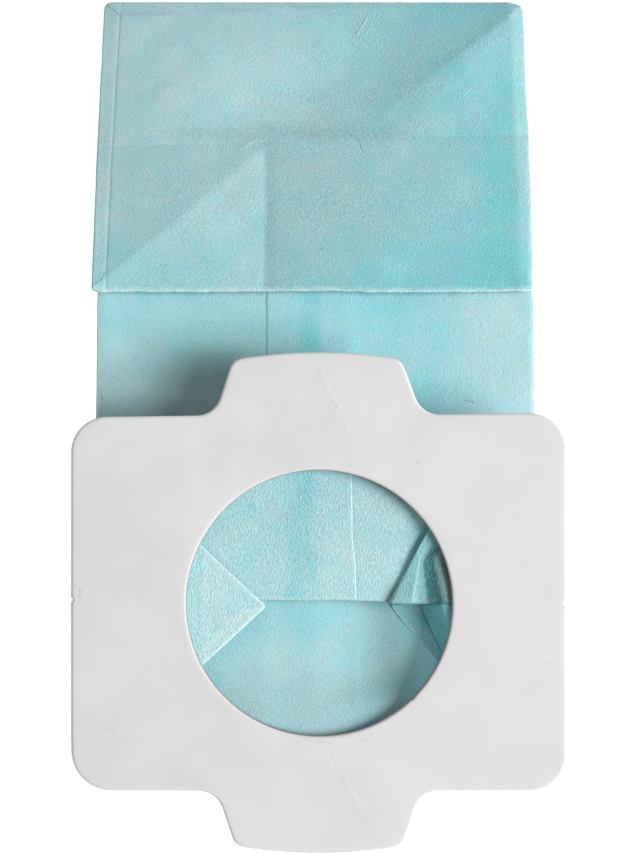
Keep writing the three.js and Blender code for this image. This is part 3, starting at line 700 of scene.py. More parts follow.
        # painted light and shade: the upper half lighter, the dark facet darkened and the ridge shaded towards it,
        # the part by the slanted edge a little darker and the strip by the rim darkened; below the middle crease the
        # sheet is lightened, painted light in the rim's shadow
        tone = tone * R_TONE * (1 + 0.10 * upper_half)
        facet = ((cc > lines_at[0] - 0.5) & (cc < lines_at[1] - 0.5)).astype(float)
        ramp = np.clip((cc - lines_at[0]) / (lines_at[1] - lines_at[0]), 0, 1)
        tone = tone - (0.74 - 0.30 * ramp) * facet * sstep(545, 552, v) * upper_half
        ridge = (cc >= lines_at[1]) & (cc <= lines_at[2])
        side = np.clip((lines_at[2] - cc) / (lines_at[2] - lines_at[1]), 0, 1)      # 0 at the ridge, 1 at the dark facet
        tone = tone * (1 + (np.interp(side, [0, 0.2, 1.0], [0.93, 0.72, 0.50]) - 1) * ridge * upper_half * sstep(540, 556, v))
        sat = sat + 0.15 * upper_half + 0.25 * facet * upper_half + 0.15 * (cc > lines_at[2]) * upper_half
        tone = tone * (1 - 0.06 * (cc > lines_at[2]) * upper_half)
        sat = sat + 0.25 * facet + 0.30 * (1 - upper_half)
        low_k = np.where(cc >= lines_at[1], 1.08 + 0.36 * sstep(616, 648, v), 1.28)
        tone = tone * (1 + (low_k - 1) * (1 - upper_half))
        tone = tone * (1 - 0.66 * sstep(lines_at[0] - 0.5, lines_at[0] - 1.5, cc) * sstep(534, 552, v))
    if not left:       # the slanted edge springs up a little near the middle
        z = z + 0.35 * np.exp(-((S - 41) / 4.5) ** 2) * (1 - sstep(0, 4, d_edge))
    P = np.stack([X, Y, z], -1)
    sheet.grid(P, M_IN, sat, tone, np.clip(wear_and_highlight, 0, 1), dark, flip=not left)
    # tight creases along the slanted edges; on the right triangle the crease is lightened, painted light where it
    # lies in shade
    E = P[:, -1]
    half = int(np.searchsorted(s, 30.0))
    for rows, nx, ny in ((slice(0, half + (1 if left else 0)), sgn, -1.0), (slice(half, None), sgn, 1.0)):
        A = E[rows]
        B = A.copy()
        B[:, 2] -= 0.34 if left else 0.12
        k = math.hypot(nx, ny)
        w = wear_and_highlight[rows, -1] * 0.8
        fold(A, B, 0.16 if left else 0.06, M_IN, sat=0.42, tone=1.0 if left else 1.5, wear_and_highlight=w, n=5, out=(nx / k, ny / k, 0))
    return P, s


TRI_L, T_LINES = triangle("l")
TRI_R, _ = triangle("r")


# ---------------------------------------------------------------- hidden plies that show at the sides
def under_plies(side):
    g = GL if side == "l" else GR
    edge = XL if side == "l" else XR
    fedge = FXL if side == "l" else FXR
    uedge = UXL if side == "l" else UXR
    sgn = 1.0 if side == "l" else -1.0
    out = (-sgn, 0, 0)
    f = np.linspace(0, 1, 9)

    def ex(s):           # side line of the hidden plies: drawn in under the front and the far end
        return edge + (uedge - edge) * sstep(58, 64, np.asarray(s, float))

    def ply(s, lim, zf, mat=M_FRONT):
        S = np.broadcast_to(s[:, None], (len(s), len(f)))
        xin = lim[:, None] * f[None, :]
        X = ex(s)[:, None] + sgn * xin
        P = np.stack([X, Y0 + S, zf(S, xin)], -1)
        sheet.grid(P, mat, 0.5, 0.95)
        return P

    def z_gb(S, xin):
        z = z_gus(S, np.clip(xin / g, 0, 1))
        if side == "r":
            k = sstep(29.5, 36, S)
            z = z * k + np.minimum(z, z_back(edge + sgn * xin, S) + 0.24) * (1 - k)
        return z

    s_all = np.linspace(0, 149, 46)
    lim_b = np.minimum(np.minimum(s_all * g / 30, g), (149 - s_all) * g / 30)
    ply(s_all, lim_b, z_gb)
    s_mid = np.linspace(30.0, 119.0, 32)
    ply(s_mid, np.full(32, g), lambda S, xin: z_gusfront(S, np.clip(xin / g, 0, 1)))
    # near end, doubled-back gusset ply under the tucked triangle
    s_w = np.linspace(30.0, 60.0, 18)
    ply(s_w, (60 - s_w) * g / 30, lambda S, xin: z_tri(S) - knots([(30, 0.42), (60, 0.2)], S) - 1.0 * (xin / g) ** 2 - (0.9 * sstep(6, 14, xin) * sstep(44, 34, S) if side == "r" else 0))
    # far end: doubled-back front, gusset ply, tucked triangle
    s_f = np.linspace(89.0, 118.1, 18)
    z_rf = lambda S, xin: knots([(89, 5.95), (118.1, 3.35)], S)
    ply(s_f, np.full(18, 40.35), z_rf)
    s_g = np.linspace(89.0, 119.0, 18)
    ply(s_g, (s_g - 89) * g / 30, lambda S, xin: knots([(89, 6.35), (119, 3.95)], S))
    s_t = np.linspace(89.0, 149.0, 33)
    lim_t = np.where(s_t < 119, s_t - 89, 149 - s_t) * g / 30
    ply(s_t, lim_t, lambda S, xin: knots([(89, 6.75), (119, 4.6), (149, 1.15)], S))
    # side creases
    def at(s, x, z):
        return np.stack([x + 0 * s, Y0 + s, z + 0 * s], -1)
    fold(at(s_all, ex(s_all), z_gb(s_all, 0 * s_all)), at(s_all, ex(s_all), 0.13), 0.20, M_FRONT, out=out, wear_and_highlight=0.15)
    col = 0 if side == "l" else -1
    ef = FRONT[:, col]
    zg = np.minimum(z_gusfront(F_LINES, 0.0), ef[:, 2] - 0.25)
    fold(ef, np.stack([ex(F_LINES), ef[:, 1], zg], -1), 0.24, M_FRONT, sat=0.45, tone=0.95, out=out, wear_and_highlight=0.12)
    er = REV[:, col]
    zt = z_tri(R_LINES) - knots([(30, 0.42), (60, 0.2)], R_LINES)
    fold(er, np.stack([edge + 0 * zt, er[:, 1], zt], -1), 0.24, M_FRONT, out=out, wear_and_highlight=0.15)
    s_n = np.linspace(0.0, 60.0, 33)
    fold(at(s_n, edge, z_end(s_n)), at(s_n, edge, z_tri(s_n)), 0.24, M_FRONT, out=out, wear_and_highlight=0.2)
    fold(at(s_f, uedge, z_rf(s_f, 0)), at(s_f, uedge, knots([(89, 6.35), (119, 3.95)], s_f)), 0.20, M_FRONT, out=out, wear_and_highlight=0.15)
    # gusset ply turned back at the near fold line
    x30 = edge + sgn * g * f * (1.0 if side == "l" else 0.45)
    f = f if side == "l" else f * 0.45
    a = np.stack([x30, np.full(9, Y0 + 30.0), z_gusfront(np.full(9, 30.0), f)], -1)
    b = np.stack([x30, np.full(9, Y0 + 30.0), z_tri(30.0) - 0.42 - 1.0 * f ** 2], -1)
    fold(a, b, 0.30, M_IN, out=(0, -1, 0))


under_plies("l")
under_plies("r")


# ---------------------------------------------------------------- near end rectangle with its inlet hole
def end_surface():
    n = int(150 / K)
    th = np.linspace(0, 2 * math.pi, n + 1)
    cs, sn = np.cos(th), np.sin(th)
    hx, hy = 24.45 * cs, CARD_Y + 24.45 * math.cos(TILT) * sn
    y_lo, y_hi = Y0, Y0 + BOX - 0.02
    with np.errstate(divide="ignore"):
        tx = np.where(cs > 0, (XR - 0) / np.where(cs > 1e-9, cs, 1e-9), (XL - 0) / np.where(cs < -1e-9, cs, -1e-9))
        ty = np.where(sn > 0, (y_hi - CARD_Y) / np.where(sn > 1e-9, sn, 1e-9), (y_lo - CARD_Y) / np.where(sn < -1e-9, sn, -1e-9))
    r = np.minimum(tx, ty)
    bx, by = r * cs, CARD_Y + r * sn
    f = np.linspace(0, 1, 8)
    X = hx[:, None] + (bx - hx)[:, None] * f[None, :]
    Y = hy[:, None] + (by - hy)[:, None] * f[None, :]
    z = z_end(Y - Y0)
    P = np.stack([X, Y, z], -1)
    sheet.grid(P, M_FRONT, 0.45, 1.0, 0.0, 0.0)
    return P


end_surface()
# near crease, back panel to end rectangle
xx = np.linspace(XL, XR, 80)
a = np.stack([xx, np.full(80, Y0), np.full(80, float(z_end(0.0)))], -1)
zb = z_back(xx, 0.0)
b = np.stack([xx, np.full(80, Y0), zb], -1)
fold(a, b, 0.12 + 0.28 * (z_end(0.0) - zb) + 0.05 * noise2(xx, 0 * xx, 12, 81), M_FRONT, out=(0, -1, 0), wear_and_highlight=0.2)


# ---------------------------------------------------------------- materials
class Nodes:
    def __init__(self, name):
        self.mat = bpy.data.materials.new(name)
        self.mat.use_nodes = True
        self.nt = self.mat.node_tree
        self.nt.nodes.clear()

    def new(self, kind, **props):
        n = self.nt.nodes.new(kind)
        for k, v in props.items():
            setattr(n, k, v)
        return n

    def put(self, sock, val):
        if isinstance(val, bpy.types.NodeSocket):
            self.nt.links.new(val, sock)
        else:
            sock.default_value = val

    def math(self, op, a, b=0.0, c=None, clamp=False):
        n = self.new("ShaderNodeMath", operation=op, use_clamp=clamp)
        self.put(n.inputs[0], a)
        self.put(n.inputs[1], b)
        if c is not None:
            self.put(n.inputs[2], c)
        return n.outputs[0]

    def vmath(self, op, a, b=(0, 0, 0), scale=None):
        n = self.new("ShaderNodeVectorMath", operation=op)
        self.put(n.inputs[0], a)
        self.put(n.inputs[1], b)
        if scale is not None:
            self.put(n.inputs["Scale"], scale)
        return n.outputs["Value"] if op in ("LENGTH", "DOT_PRODUCT", "DISTANCE") else n.outputs[0]

    def mix(self, fac, a, b):
        n = self.new("ShaderNodeMix", data_type="RGBA")
        self.put(n.inputs[0], fac)
        self.put(n.inputs[6], a)
        self.put(n.inputs[7], b)
        return n.outputs[2]

    def noise(self, vec, scale, detail=2.0, rough=0.5, dist=0.0):
        n = self.new("ShaderNodeTexNoise", noise_dimensions="3D")
        self.put(n.inputs["Vector"], vec)
        n.inputs["Scale"].default_value = scale
        n.inputs["Detail"].default_value = detail
        n.inputs["Roughness"].default_value = rough
        n.inputs["Distortion"].default_value = dist
        return n.outputs[0]

    def map(self, vec, scale=(1, 1, 1), rot=(0, 0, 0), loc=(0, 0, 0)):
        n = self.new("ShaderNodeMapping", vector_type="POINT")
        self.put(n.inputs[0], vec)
        n.inputs["Location"].default_value = loc
        n.inputs["Rotation"].default_value = rot
        n.inputs["Scale"].default_value = scale
        return n.outputs[0]

    def fibre(self, vec, wide, long, rot, loc=(0, 0, 0)):
        """Coordinates for a noise drawn out along a direction `rot` away from y."""
        turned = self.map(vec, rot=(0, 0, rot), loc=loc)
        return self.vmath("MULTIPLY", turned, (1 / wide, 1 / long, 0.9))

    def ramp(self, fac, lo, hi):
        n = self.new("ShaderNodeMapRange", interpolation_type="SMOOTHSTEP")
        self.put(n.inputs[0], fac)
        n.inputs[1].default_value = lo
        n.inputs[2].default_value = hi
        n.inputs[3].default_value = 0.0
        n.inputs[4].default_value = 1.0
        return n.outputs[0]

    def segment(self, P, a, b, w, wob=None):
        """1 on the segment a-b (mm), falling to 0 at w mm beside it."""
        ax, ay = a
        bx, by = b
        d = (bx - ax, by - ay, 0.0)
        l2 = d[0] ** 2 + d[1] ** 2
        rel = self.vmath("SUBTRACT", P, (ax, ay, 0.0))
        t = self.math("DIVIDE", self.vmath("DOT_PRODUCT", rel, d), l2, clamp=True)
        foot = self.vmath("SCALE", d, scale=t)
        dist = self.vmath("LENGTH", self.vmath("SUBTRACT", rel, foot))
        if wob is not None:
            dist = self.math("ADD", dist, wob)
        n = self.new("ShaderNodeMapRange", interpolation_type="SMOOTHSTEP")
        self.put(n.inputs[0], dist)
        n.inputs[1].default_value = 0.0
        n.inputs[2].default_value = w
        n.inputs[3].default_value = 1.0
        n.inputs[4].default_value = 0.0
        return n.outputs[0]


def srgb(r, g, b):
    def f(c):
        c /= 255.0
        return c / 12.92 if c <= 0.04045 else ((c + 0.055) / 1.055) ** 2.4
    return (f(r), f(g), f(b), 1.0)


GAIN = 1.06       # surface albedo against the value wanted in the picture


def albedo(r, g, b, k=GAIN):
    c = srgb(r, g, b)
    return (min(c[0] * k, 0.93), min(c[1] * k, 0.93), min(c[2] * k, 0.93), 1.0)


C_GREY = albedo(181, 205, 208)
C_CYAN = albedo(126, 200, 208)
# pale colour below: wear on folded edges and painted highlights; dark colour: painted shade in crease and shadow
# lines, also one speck
C_WEAR_AND_HIGHLIGHT = albedo(222, 241, 243)
C_DARK = albedo(84, 122, 124)


def paper(name, grain_rot, grain_cross, grain_long, grain_wide, grain_amt, bump_amt, creases=(), calm=None):
    m = Nodes(name)
    tc = m.new("ShaderNodeTexCoord")
    P = m.vmath("SCALE", tc.outputs["Object"], scale=1000.0)
    attr = m.new("ShaderNodeAttribute", attribute_type="GEOMETRY", attribute_name="mask")
    sep = m.new("ShaderNodeSeparateColor")
    m.put(sep.inputs[0], attr.outputs["Color"])
    sat, tone, wear_and_highlight, dark = sep.outputs[0], sep.outputs[1], sep.outputs[2], attr.outputs["Alpha"]

    # felted fibres: a warped, stretched fine noise, twice at different slants
    warp = m.noise(P, 0.9, 1.0)
    Pw = m.vmath("ADD", P, m.vmath("SCALE", (1.0, 1.0, 0.0), scale=m.math("MULTIPLY", m.math("SUBTRACT", warp, 0.5), 0.5)))
    P2 = m.vmath("MULTIPLY", P, (1.0, 1.0, 0.0))
    g1 = m.noise(m.fibre(Pw, grain_wide, grain_long, grain_rot), 1.0, 2.0, 0.62)
    g2 = m.noise(m.fibre(Pw, grain_wide * 1.15, grain_long * 0.8, grain_rot + grain_cross, (7, 3, 0)), 1.0, 1.5, 0.6)
    grain = m.math("ADD", m.math("MULTIPLY", g1, 0.62), m.math("MULTIPLY", g2, 0.38))
    gc = m.math("SUBTRACT", grain, 0.5)
    if calm is not None:           # smoother towards one side: (direction, from, to, least)
        along = m.ramp(m.vmath("DOT_PRODUCT", P2, (calm[0][0], calm[0][1], 0.0)), calm[1], calm[2])
        gc = m.math("MULTIPLY", gc, m.math("ADD", calm[3], m.math("MULTIPLY", along, 1.0 - calm[3])))
    fib = m.ramp(m.noise(m.fibre(Pw, 0.14, 1.5, grain_rot + 0.3, (3, 9, 0)), 1.0, 0.0), 0.66, 0.80)
    fib2 = m.ramp(m.noise(m.fibre(Pw, 0.14, 1.4, grain_rot - 0.55, (13, 2, 0)), 1.0, 0.0), 0.67, 0.80)
    speck = m.ramp(m.noise(P, 1.9, 0.0), 0.79, 0.84)
    cloud = m.noise(P, 0.16, 3.0, 0.6)
    cloud2 = m.noise(m.vmath("ADD", P, (31.0, 7.0, 0.0)), 0.42, 2.0, 0.6)

    s = m.math("ADD", sat, m.math("MULTIPLY", m.math("SUBTRACT", cloud, 0.5), 0.75))
    s = m.math("ADD", s, m.math("MULTIPLY", m.math("SUBTRACT", cloud2, 0.5), 0.45))
    s = m.math("ADD", s, m.math("MULTIPLY", gc, 0.55), clamp=True)
    base = m.mix(s, C_GREY, C_CYAN)
    t = m.math("ADD", tone, m.math("MULTIPLY", gc, grain_amt))
    t = m.math("ADD", t, m.math("MULTIPLY", m.math("SUBTRACT", cloud2, 0.5), 0.10))
    t = m.math("ADD", t, m.math("MULTIPLY", fib, 0.055))
    t = m.math("ADD", t, m.math("MULTIPLY", fib2, 0.045))
    t = m.math("SUBTRACT", t, m.math("MULTIPLY", speck, 0.07))
    base = m.vmath("SCALE", base, scale=t)
    # pale mask: wear on folded edges and painted highlights; dark mask: painted shade
    w = m.math("MULTIPLY", wear_and_highlight, m.math("ADD", 0.72, m.math("MULTIPLY", gc, 1.6)), clamp=True)
    base = m.mix(w, base, C_WEAR_AND_HIGHLIGHT)
    base = m.mix(dark, base, C_DARK)

    height = m.math("MULTIPLY", gc, 1.0)
    height = m.math("ADD", height, m.math("MULTIPLY", fib, 0.10))
    # crease tints: a positive tint darkens towards the dark colour, painted shade in crease lines and also one speck;
    # a negative tint lightens, a painted highlight on wrinkles
    for (a, b, width, strength, tint) in creases:
        k = m.segment(P2, a, b, width, m.math("MULTIPLY", m.math("SUBTRACT", cloud2, 0.5), 0.25 * width))
        height = m.math("ADD", height, m.math("MULTIPLY", k, strength))
        if tint:
            base = m.mix(m.math("MULTIPLY", k, abs(tint)), base, C_DARK if tint > 0 else C_WEAR_AND_HIGHLIGHT)
    bump = m.new("ShaderNodeBump")
    bump.inputs["Strength"].default_value = 1.0
    bump.inputs["Distance"].default_value = bump_amt * MM
    m.put(bump.inputs["Height"], height)

    bs = m.new("ShaderNodeBsdfPrincipled")
    m.put(bs.inputs["Base Color"], base)
    bs.inputs["Roughness"].default_value = 0.9
    bs.inputs["Specular IOR Level"].default_value = 0.12
    m.put(bs.inputs["Normal"], bump.outputs[0])
    # a little light comes through the sheet
    tl = m.new("ShaderNodeBsdfTranslucent")
    m.put(tl.inputs["Color"], m.vmath("SCALE", base, scale=0.85))
    mix = m.new("ShaderNodeMixShader")
    mix.inputs[0].default_value = 0.10
    m.put(mix.inputs[1], bs.outputs[0])
    m.put(mix.inputs[2], tl.outputs[0])
    outn = m.new("ShaderNodeOutputMaterial")
    m.put(outn.inputs[0], mix.outputs[0])
    return m.mat


def row_xy(u, v, z):
    x, y = from_px(u, v, z)
    return (x, y + Y_OFF)


# far end rectangle: mitre and crease lines darkened with painted shade, two wrinkles lightened with painted
# highlight, and one real dark speck
mat_top = paper("paper_top", 0.7, 1.5, 0.38, 0.34, 0.78, 0.198, calm=((0.8, -0.6), -75.0, -35.0, 0.62), creases=[
    (row_xy(107.0, 4.0, 2.2), row_xy(113, 8.5, 2.6), 0.20, -0.2, 0.42),
    (row_xy(113, 8.5, 2.6), row_xy(119.8, 14.5, 3.0), 0.20, -0.2, 0.42),
    (row_xy(93.8, 283.5, 7.2), row_xy(100, 280.5, 7.2), 0.20, -0.2, 0.42),
    (row_xy(100, 280.5, 7.2), row_xy(104.4, 273.0, 7.1), 0.20, -0.2, 0.42),
    (row_xy(239.7, 149, 5.4), row_xy(252, 141, 5.4), 0.30, 0.22, 0.0),
    (row_xy(252, 141, 5.4), row_xy(266.5, 138.6, 5.4), 0.25, 0.22, 0.0),
    (row_xy(357, 33, 3.0), row_xy(367, 16, 3.0), 0.35, 0.30, -0.12),
    (row_xy(365, 33, 3.0), row_xy(372, 23, 3.0), 0.30, 0.28, -0.10),
    (row_xy(345, 131, 5.0), row_xy(357, 139, 5.0), 0.22, -0.25, 0.12),
    (row_xy(357, 139, 5.0), row_xy(362, 152, 5.0), 0.22, -0.25, 0.12),
    (row_xy(320.5, 248.5, 6.5), row_xy(321.3, 249.3, 6.5), 0.24, -0.2, 0.80),
])
mat_front = paper("paper_front", 0.0, 0.5, 0.66, 0.20, 0.68, 0.165, calm=((1.0, 0.0), -44.0, -16.0, 0.66), creases=[
    (row_xy(464, 399, 3.7), row_xy(474, 401, 3.7), 0.20, -0.25, 0.40),
    (row_xy(100.5, 396, 3.7), row_xy(101.5, 399, 3.7), 0.3, -0.2, 0.30),
])
mat_in = paper("paper_inside", 0.05, 0.4, 0.66, 0.21, 1.15, 0.290, creases=[])
mat_back = paper("paper_back", 0.0, 0.6, 0.56, 0.20, 0.68, 0.170, creases=[])


bag = sheet.build("bag_paper", [mat_top, mat_front, mat_in, mat_back])
bm = bmesh.new()
bm.from_mesh(bag.data)
bmesh.ops.recalc_face_normals(bm, faces=bm.faces)
bm.to_mesh(bag.data)
bm.free()
sol = bag.modifiers.new("ply", "SOLIDIFY")
sol.thickness = PAPER_T * MM
sol.offset = 0.0
sol.use_rim = True
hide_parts("paper_bag")
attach(bag, "root")


# ---------------------------------------------------------------- collar plate
def rounded(points):
    out = []
    n = len(points)
    for i, (x, y, r, steps) in enumerate(points):
        if not r:
            out.append((x, y))
            continue
        p, q = points[i - 1], points[(i + 1) % n]
        a = np.array([p[0] - x, p[1] - y])
        b = np.array([q[0] - x, q[1] - y])
        a = a / np.hypot(*a)
        b = b / np.hypot(*b)
        half = math.acos(max(-1, min(1, float(a @ b)))) / 2
        d = r / math.tan(half)
        mid = (a + b) / np.hypot(*(a + b))
        c = np.array([x, y]) + mid * r / math.sin(half)
        s0 = np.array([x, y]) + a * d - c
        s1 = np.array([x, y]) + b * d - c
        a0 = math.atan2(s0[1], s0[0])
        a1 = math.atan2(s1[1], s1[0])
        while a1 - a0 > math.pi:
            a1 -= 2 * math.pi
        while a1 - a0 < -math.pi:
            a1 += 2 * math.pi
        for k in range(steps + 1):
            t = a0 + (a1 - a0) * k / steps
            out.append((c[0] + r * math.cos(t), c[1] + r * math.sin(t)))
    return out


def plate_outline():
    HW, HB = 45.05, 33.95
    crown = lambda u: 45.35 - 1.3 * (u / 15.35) ** 2

    def tab(s, root0, top0, top1, root1, y0, y1, rise):
        pts = [(root0 * s, y0 * s, 4.6, 12), (top0 * s, (44.05 + rise) * s, 2.9, 12)]
        pts += [(u * s, (crown(u) + rise) * s, 0, 0) for u in (11, 9, 7.5, 5.5, 4, 2, 0, -2, -4, -5.5, -7.5, -9, -11)]
        pts += [(-top1 * s, (44.05 + rise) * s, 2.9, 12), (-root1 * s, y1 * s, 4.6, 12)]
        return pts

    # die-cut: the two ends of the board are not quite alike
    pts = [(HW, -HB - 0.35, 6.5, 22)]
    pts += tab_edge(HW, 1)
    pts += [(HW, HB + 0.50, 6.5, 22)] + tab(1, 18.75, 14.95, 15.68, 19.0, HB + 0.20, HB + 0.05, 0.12) + [(-HW, HB - 0.30, 6.5, 22)]
    pts += tab_edge(-HW, -1)
    pts += [(-HW + 0.20, -HB - 0.35, 7.5, 24)] + tab(-1, 18.55, 15.22, 15.35, 18.7, HB + 0.38, HB + 0.38, 0.30)
    return rounded(pts)


def tab_edge(x, up):
    """A long straight side with its small die nick, walked up (+1) or down (-1)."""
    ys = list(np.linspace(-24, 24, 33))
    nick = -0.15 if up > 0 else 0.45
    ys = [y for y in ys if abs(y - nick) > 0.6] + [nick - 0.42, nick - 0.16, nick, nick + 0.16, nick + 0.42]
    ys = sorted(ys, reverse=(up < 0))
    inn = -1 if x > 0 else 1
    depth = {0: 0.42, 1: 0.28}
    res = []
    for y in ys:
        k = abs(y - nick)
        d = 0.40 if k < 0.01 else (0.25 if k < 0.2 else 0.0)
        res.append((x + inn * d, y, 0, 0))
    return res


def resample(poly, step):
    out = []
    n = len(poly)
    for i in range(n):
        a, b = np.array(poly[i]), np.array(poly[(i + 1) % n])
        L = np.hypot(*(b - a))
        k = max(1, int(round(L / step)))
        for j in range(k):
            out.append(tuple(a + (b - a) * j / k))
    return out


def normals_of(poly):
    p = np.array(poly)
    t = np.roll(p, -1, 0) - np.roll(p, 1, 0)
    t = t / np.maximum(np.hypot(t[:, 0], t[:, 1]), 1e-9)[:, None]
    return np.stack([t[:, 1], -t[:, 0]], -1)      # outward for a counter-clockwise outline


def inside_poly(px, py, poly):
    p = np.array(poly)
    x0, y0 = p[:, 0], p[:, 1]
    x1, y1 = np.roll(x0, -1), np.roll(y0, -1)
    c = np.zeros(len(px), bool)
    for a, b, d, e in zip(x0, y0, x1, y1):
        hit = ((b > py) != (e > py)) & (px < (d - a) * (py - b) / (e - b + 1e-12) + a)
        c ^= hit
    return c


def build_plate():
    outer = np.array(resample(plate_outline(), 0.7 * K)) + (-0.20, 0.0)
    on = normals_of(outer)
    nh = int(300 / K)
    th = np.arange(nh) / nh * 2 * math.pi
    rr = 24.12 + 0.03 * noise2(th * 6, 0 * th, 2.0, 91)
    nick = np.abs((th + 0.788 + math.pi) % (2 * math.pi) - math.pi)
    rr = rr + 0.42 * np.clip(1 - nick / 0.017, 0, 1)
    hole = np.stack([rr * np.cos(th) - 0.15, rr * np.sin(th) - 0.12], -1)
    hn = -np.stack([np.cos(th), np.sin(th)], -1)      # out of the board, into the hole
    R, RB = 0.62, 0.30
    prof = []
    for a in np.linspace(0, math.pi / 2, 8):      # front rounding: inset, depth below the face
        prof.append((R * (1 - math.sin(a)), 0.80 * R * (1 - math.cos(a))))
    for a in np.linspace(0, math.pi / 2, 4)[1:]:
        prof.append((RB * (1 - math.cos(a)), CARD_T - RB * (1 - math.sin(a))))
    V, F = [], []

    def bend(u, v):        # the board is not quite flat
        h = 0.10 * noise2(np.asarray(u), np.asarray(v), 34, 95) + 0.025 * noise2(np.asarray(u), np.asarray(v), 11, 96)
        return h

    def ring(poly, nrm):
        rows = []
        for inset, depth in prof:
            q = poly - nrm * inset
            w = -depth + bend(q[:, 0], q[:, 1])
            rows.append(np.stack([q[:, 0], q[:, 1], w], -1))
        return np.array(rows)

    ro, rh = ring(outer, on), ring(hole, hn)
    base = 0
    idx = []
    for rows in (ro, rh):
        k, n = rows.shape[:2]
        V.append(rows.reshape(-1, 3))
        ids = np.arange(k * n).reshape(k, n) + base
        base += k * n
        idx.append(ids)
    io, ih = idx
    for ids, flip in ((io, False), (ih, True)):
        k, n = ids.shape
        for r in range(k - 1):
            a, b = ids[r], ids[r + 1]
            q = np.stack([a, np.roll(a, -1), np.roll(b, -1), b], -1)
            if not flip:
                q = q[:, ::-1]
            F.append(q)
    quads = np.concatenate(F)

    def cap(poly_o, poly_h, ids_o, ids_h, front):
        step = (1.5 if front else 5.0) * K
        gx, gy = np.meshgrid(np.arange(-44, 44.1, step), np.arange(-45, 45.1, step))
        gx, gy = gx.ravel() + 0.137, gy.ravel() + 0.071
        keep = inside_poly(gx, gy, poly_o) & (np.hypot(gx, gy) > 24.05 + 0.62 + 0.35)
        gx, gy = gx[keep], gy[keep]
        d = np.min(np.hypot(gx[:, None] - poly_o[None, ::2, 0], gy[:, None] - poly_o[None, ::2, 1]), 1)
        gx, gy = gx[d > 0.5], gy[d > 0.5]
        pts = [Vector((float(a), float(b))) for a, b in poly_o] + [Vector((float(a), float(b))) for a, b in poly_h] + [Vector((float(a), float(b))) for a, b in zip(gx, gy)]
        no, nh2 = len(poly_o), len(poly_h)
        edges = [(i, (i + 1) % no) for i in range(no)] + [(no + i, no + (i + 1) % nh2) for i in range(nh2)]
        res = delaunay_2d_cdt(pts, edges, [], 1, 1e-5)
        vco = np.array([[p.x, p.y] for p in res[0]])
        faces = res[2]
        orig = res[3]
        cx = np.array([vco[list(f)].mean(0) for f in faces])
        ok = inside_poly(cx[:, 0], cx[:, 1], poly_o) & ~inside_poly(cx[:, 0], cx[:, 1], poly_h)
        return vco, [f for f, o in zip(faces, ok) if o], orig, no, nh2

    all_v = [np.concatenate(V)]
    tris = []
    for front in (True, False):
        row = 0 if front else -1
        po = ro[row][:, :2]
        ph = rh[row][:, :2]
        vco, faces, orig, no, nh2 = cap(po, ph, io[row], ih[row], front)
        mapping = []
        extra = []
        for k in range(len(vco)):
            src = orig[k][0] if len(orig[k]) else -1
            if 0 <= src < no:
                mapping.append(int(io[row][src]))
            elif no <= src < no + nh2:
                mapping.append(int(ih[row][src - no]))
            else:
                w = bend(vco[k, 0], vco[k, 1]) - (0.0 if front else CARD_T)
                mapping.append(base + len(extra))
                extra.append((vco[k, 0], vco[k, 1], float(w)))
        base += len(extra)
        if extra:
            all_v.append(np.array(extra))
        for f in faces:
            g = [mapping[i] for i in f]
            a, b, c = vco[f[0]], vco[f[1]], vco[f[2]]
            ccw = (b[0] - a[0]) * (c[1] - a[1]) - (b[1] - a[1]) * (c[0] - a[0]) > 0
            if ccw != front:
                g = g[::-1]
            tris.append(g)
    v = np.concatenate(all_v)
    # bare grey stock shows on the cut edges
    depth = bend(v[:, 0], v[:, 1]) - v[:, 2]
    rad = np.hypot(v[:, 0] + 0.15, v[:, 1] + 0.12)
    in_hole = rad < 24.9
    cut = np.where(in_hole, sstep(0.06, 0.34, depth), 0.35 * sstep(0.20, 0.50, depth)) * (1 - sstep(CARD_T - 0.25, CARD_T - 0.05, depth))
    # painted shade on the hole's rim at the lower right, where the rounded edge faces away from the lamp
    ang = np.arctan2(v[:, 1], v[:, 0])
    painted_rim_shade = np.exp(-((ang + 0.85) / 0.62) ** 2)
    cut = np.maximum(cut, 0.62 * painted_rim_shade * (1 - sstep(24.25, 24.75, rad)) * (depth < 0.5))
    # into the leaning plane of the collar
    c, s = math.cos(TILT), math.sin(TILT)
    W = np.stack([v[:, 0], CARD_Y + v[:, 1] * c - v[:, 2] * s + Y_OFF, FRONT_Z + v[:, 1] * s + v[:, 2] * c], -1)
    W[:, 2] = np.maximum(W[:, 2], 0.02)
    me = bpy.data.meshes.new("collar")
    me.from_pydata((W * MM).tolist(), [], quads.tolist() + tris)
    me.polygons.foreach_set("use_smooth", [True] * len(me.polygons))
    at = me.attributes.new("cut", "FLOAT", "POINT")
    at.data.foreach_set("value", cut.astype(float).tolist())
    me.update()
    ob = bpy.data.objects.new("collar_board", me)
    bpy.context.scene.collection.objects.link(ob)
    return ob


def plate_xy(u, v):
    """Pixel -> row-frame x, y on the collar's front face."""
    z = 9.0
    for _ in range(8):
        x, y = from_px(u, v, z)
        z = FRONT_Z + (y - CARD_Y) * TT
    return (x, y + Y_OFF)


BOARD_K = 0.80


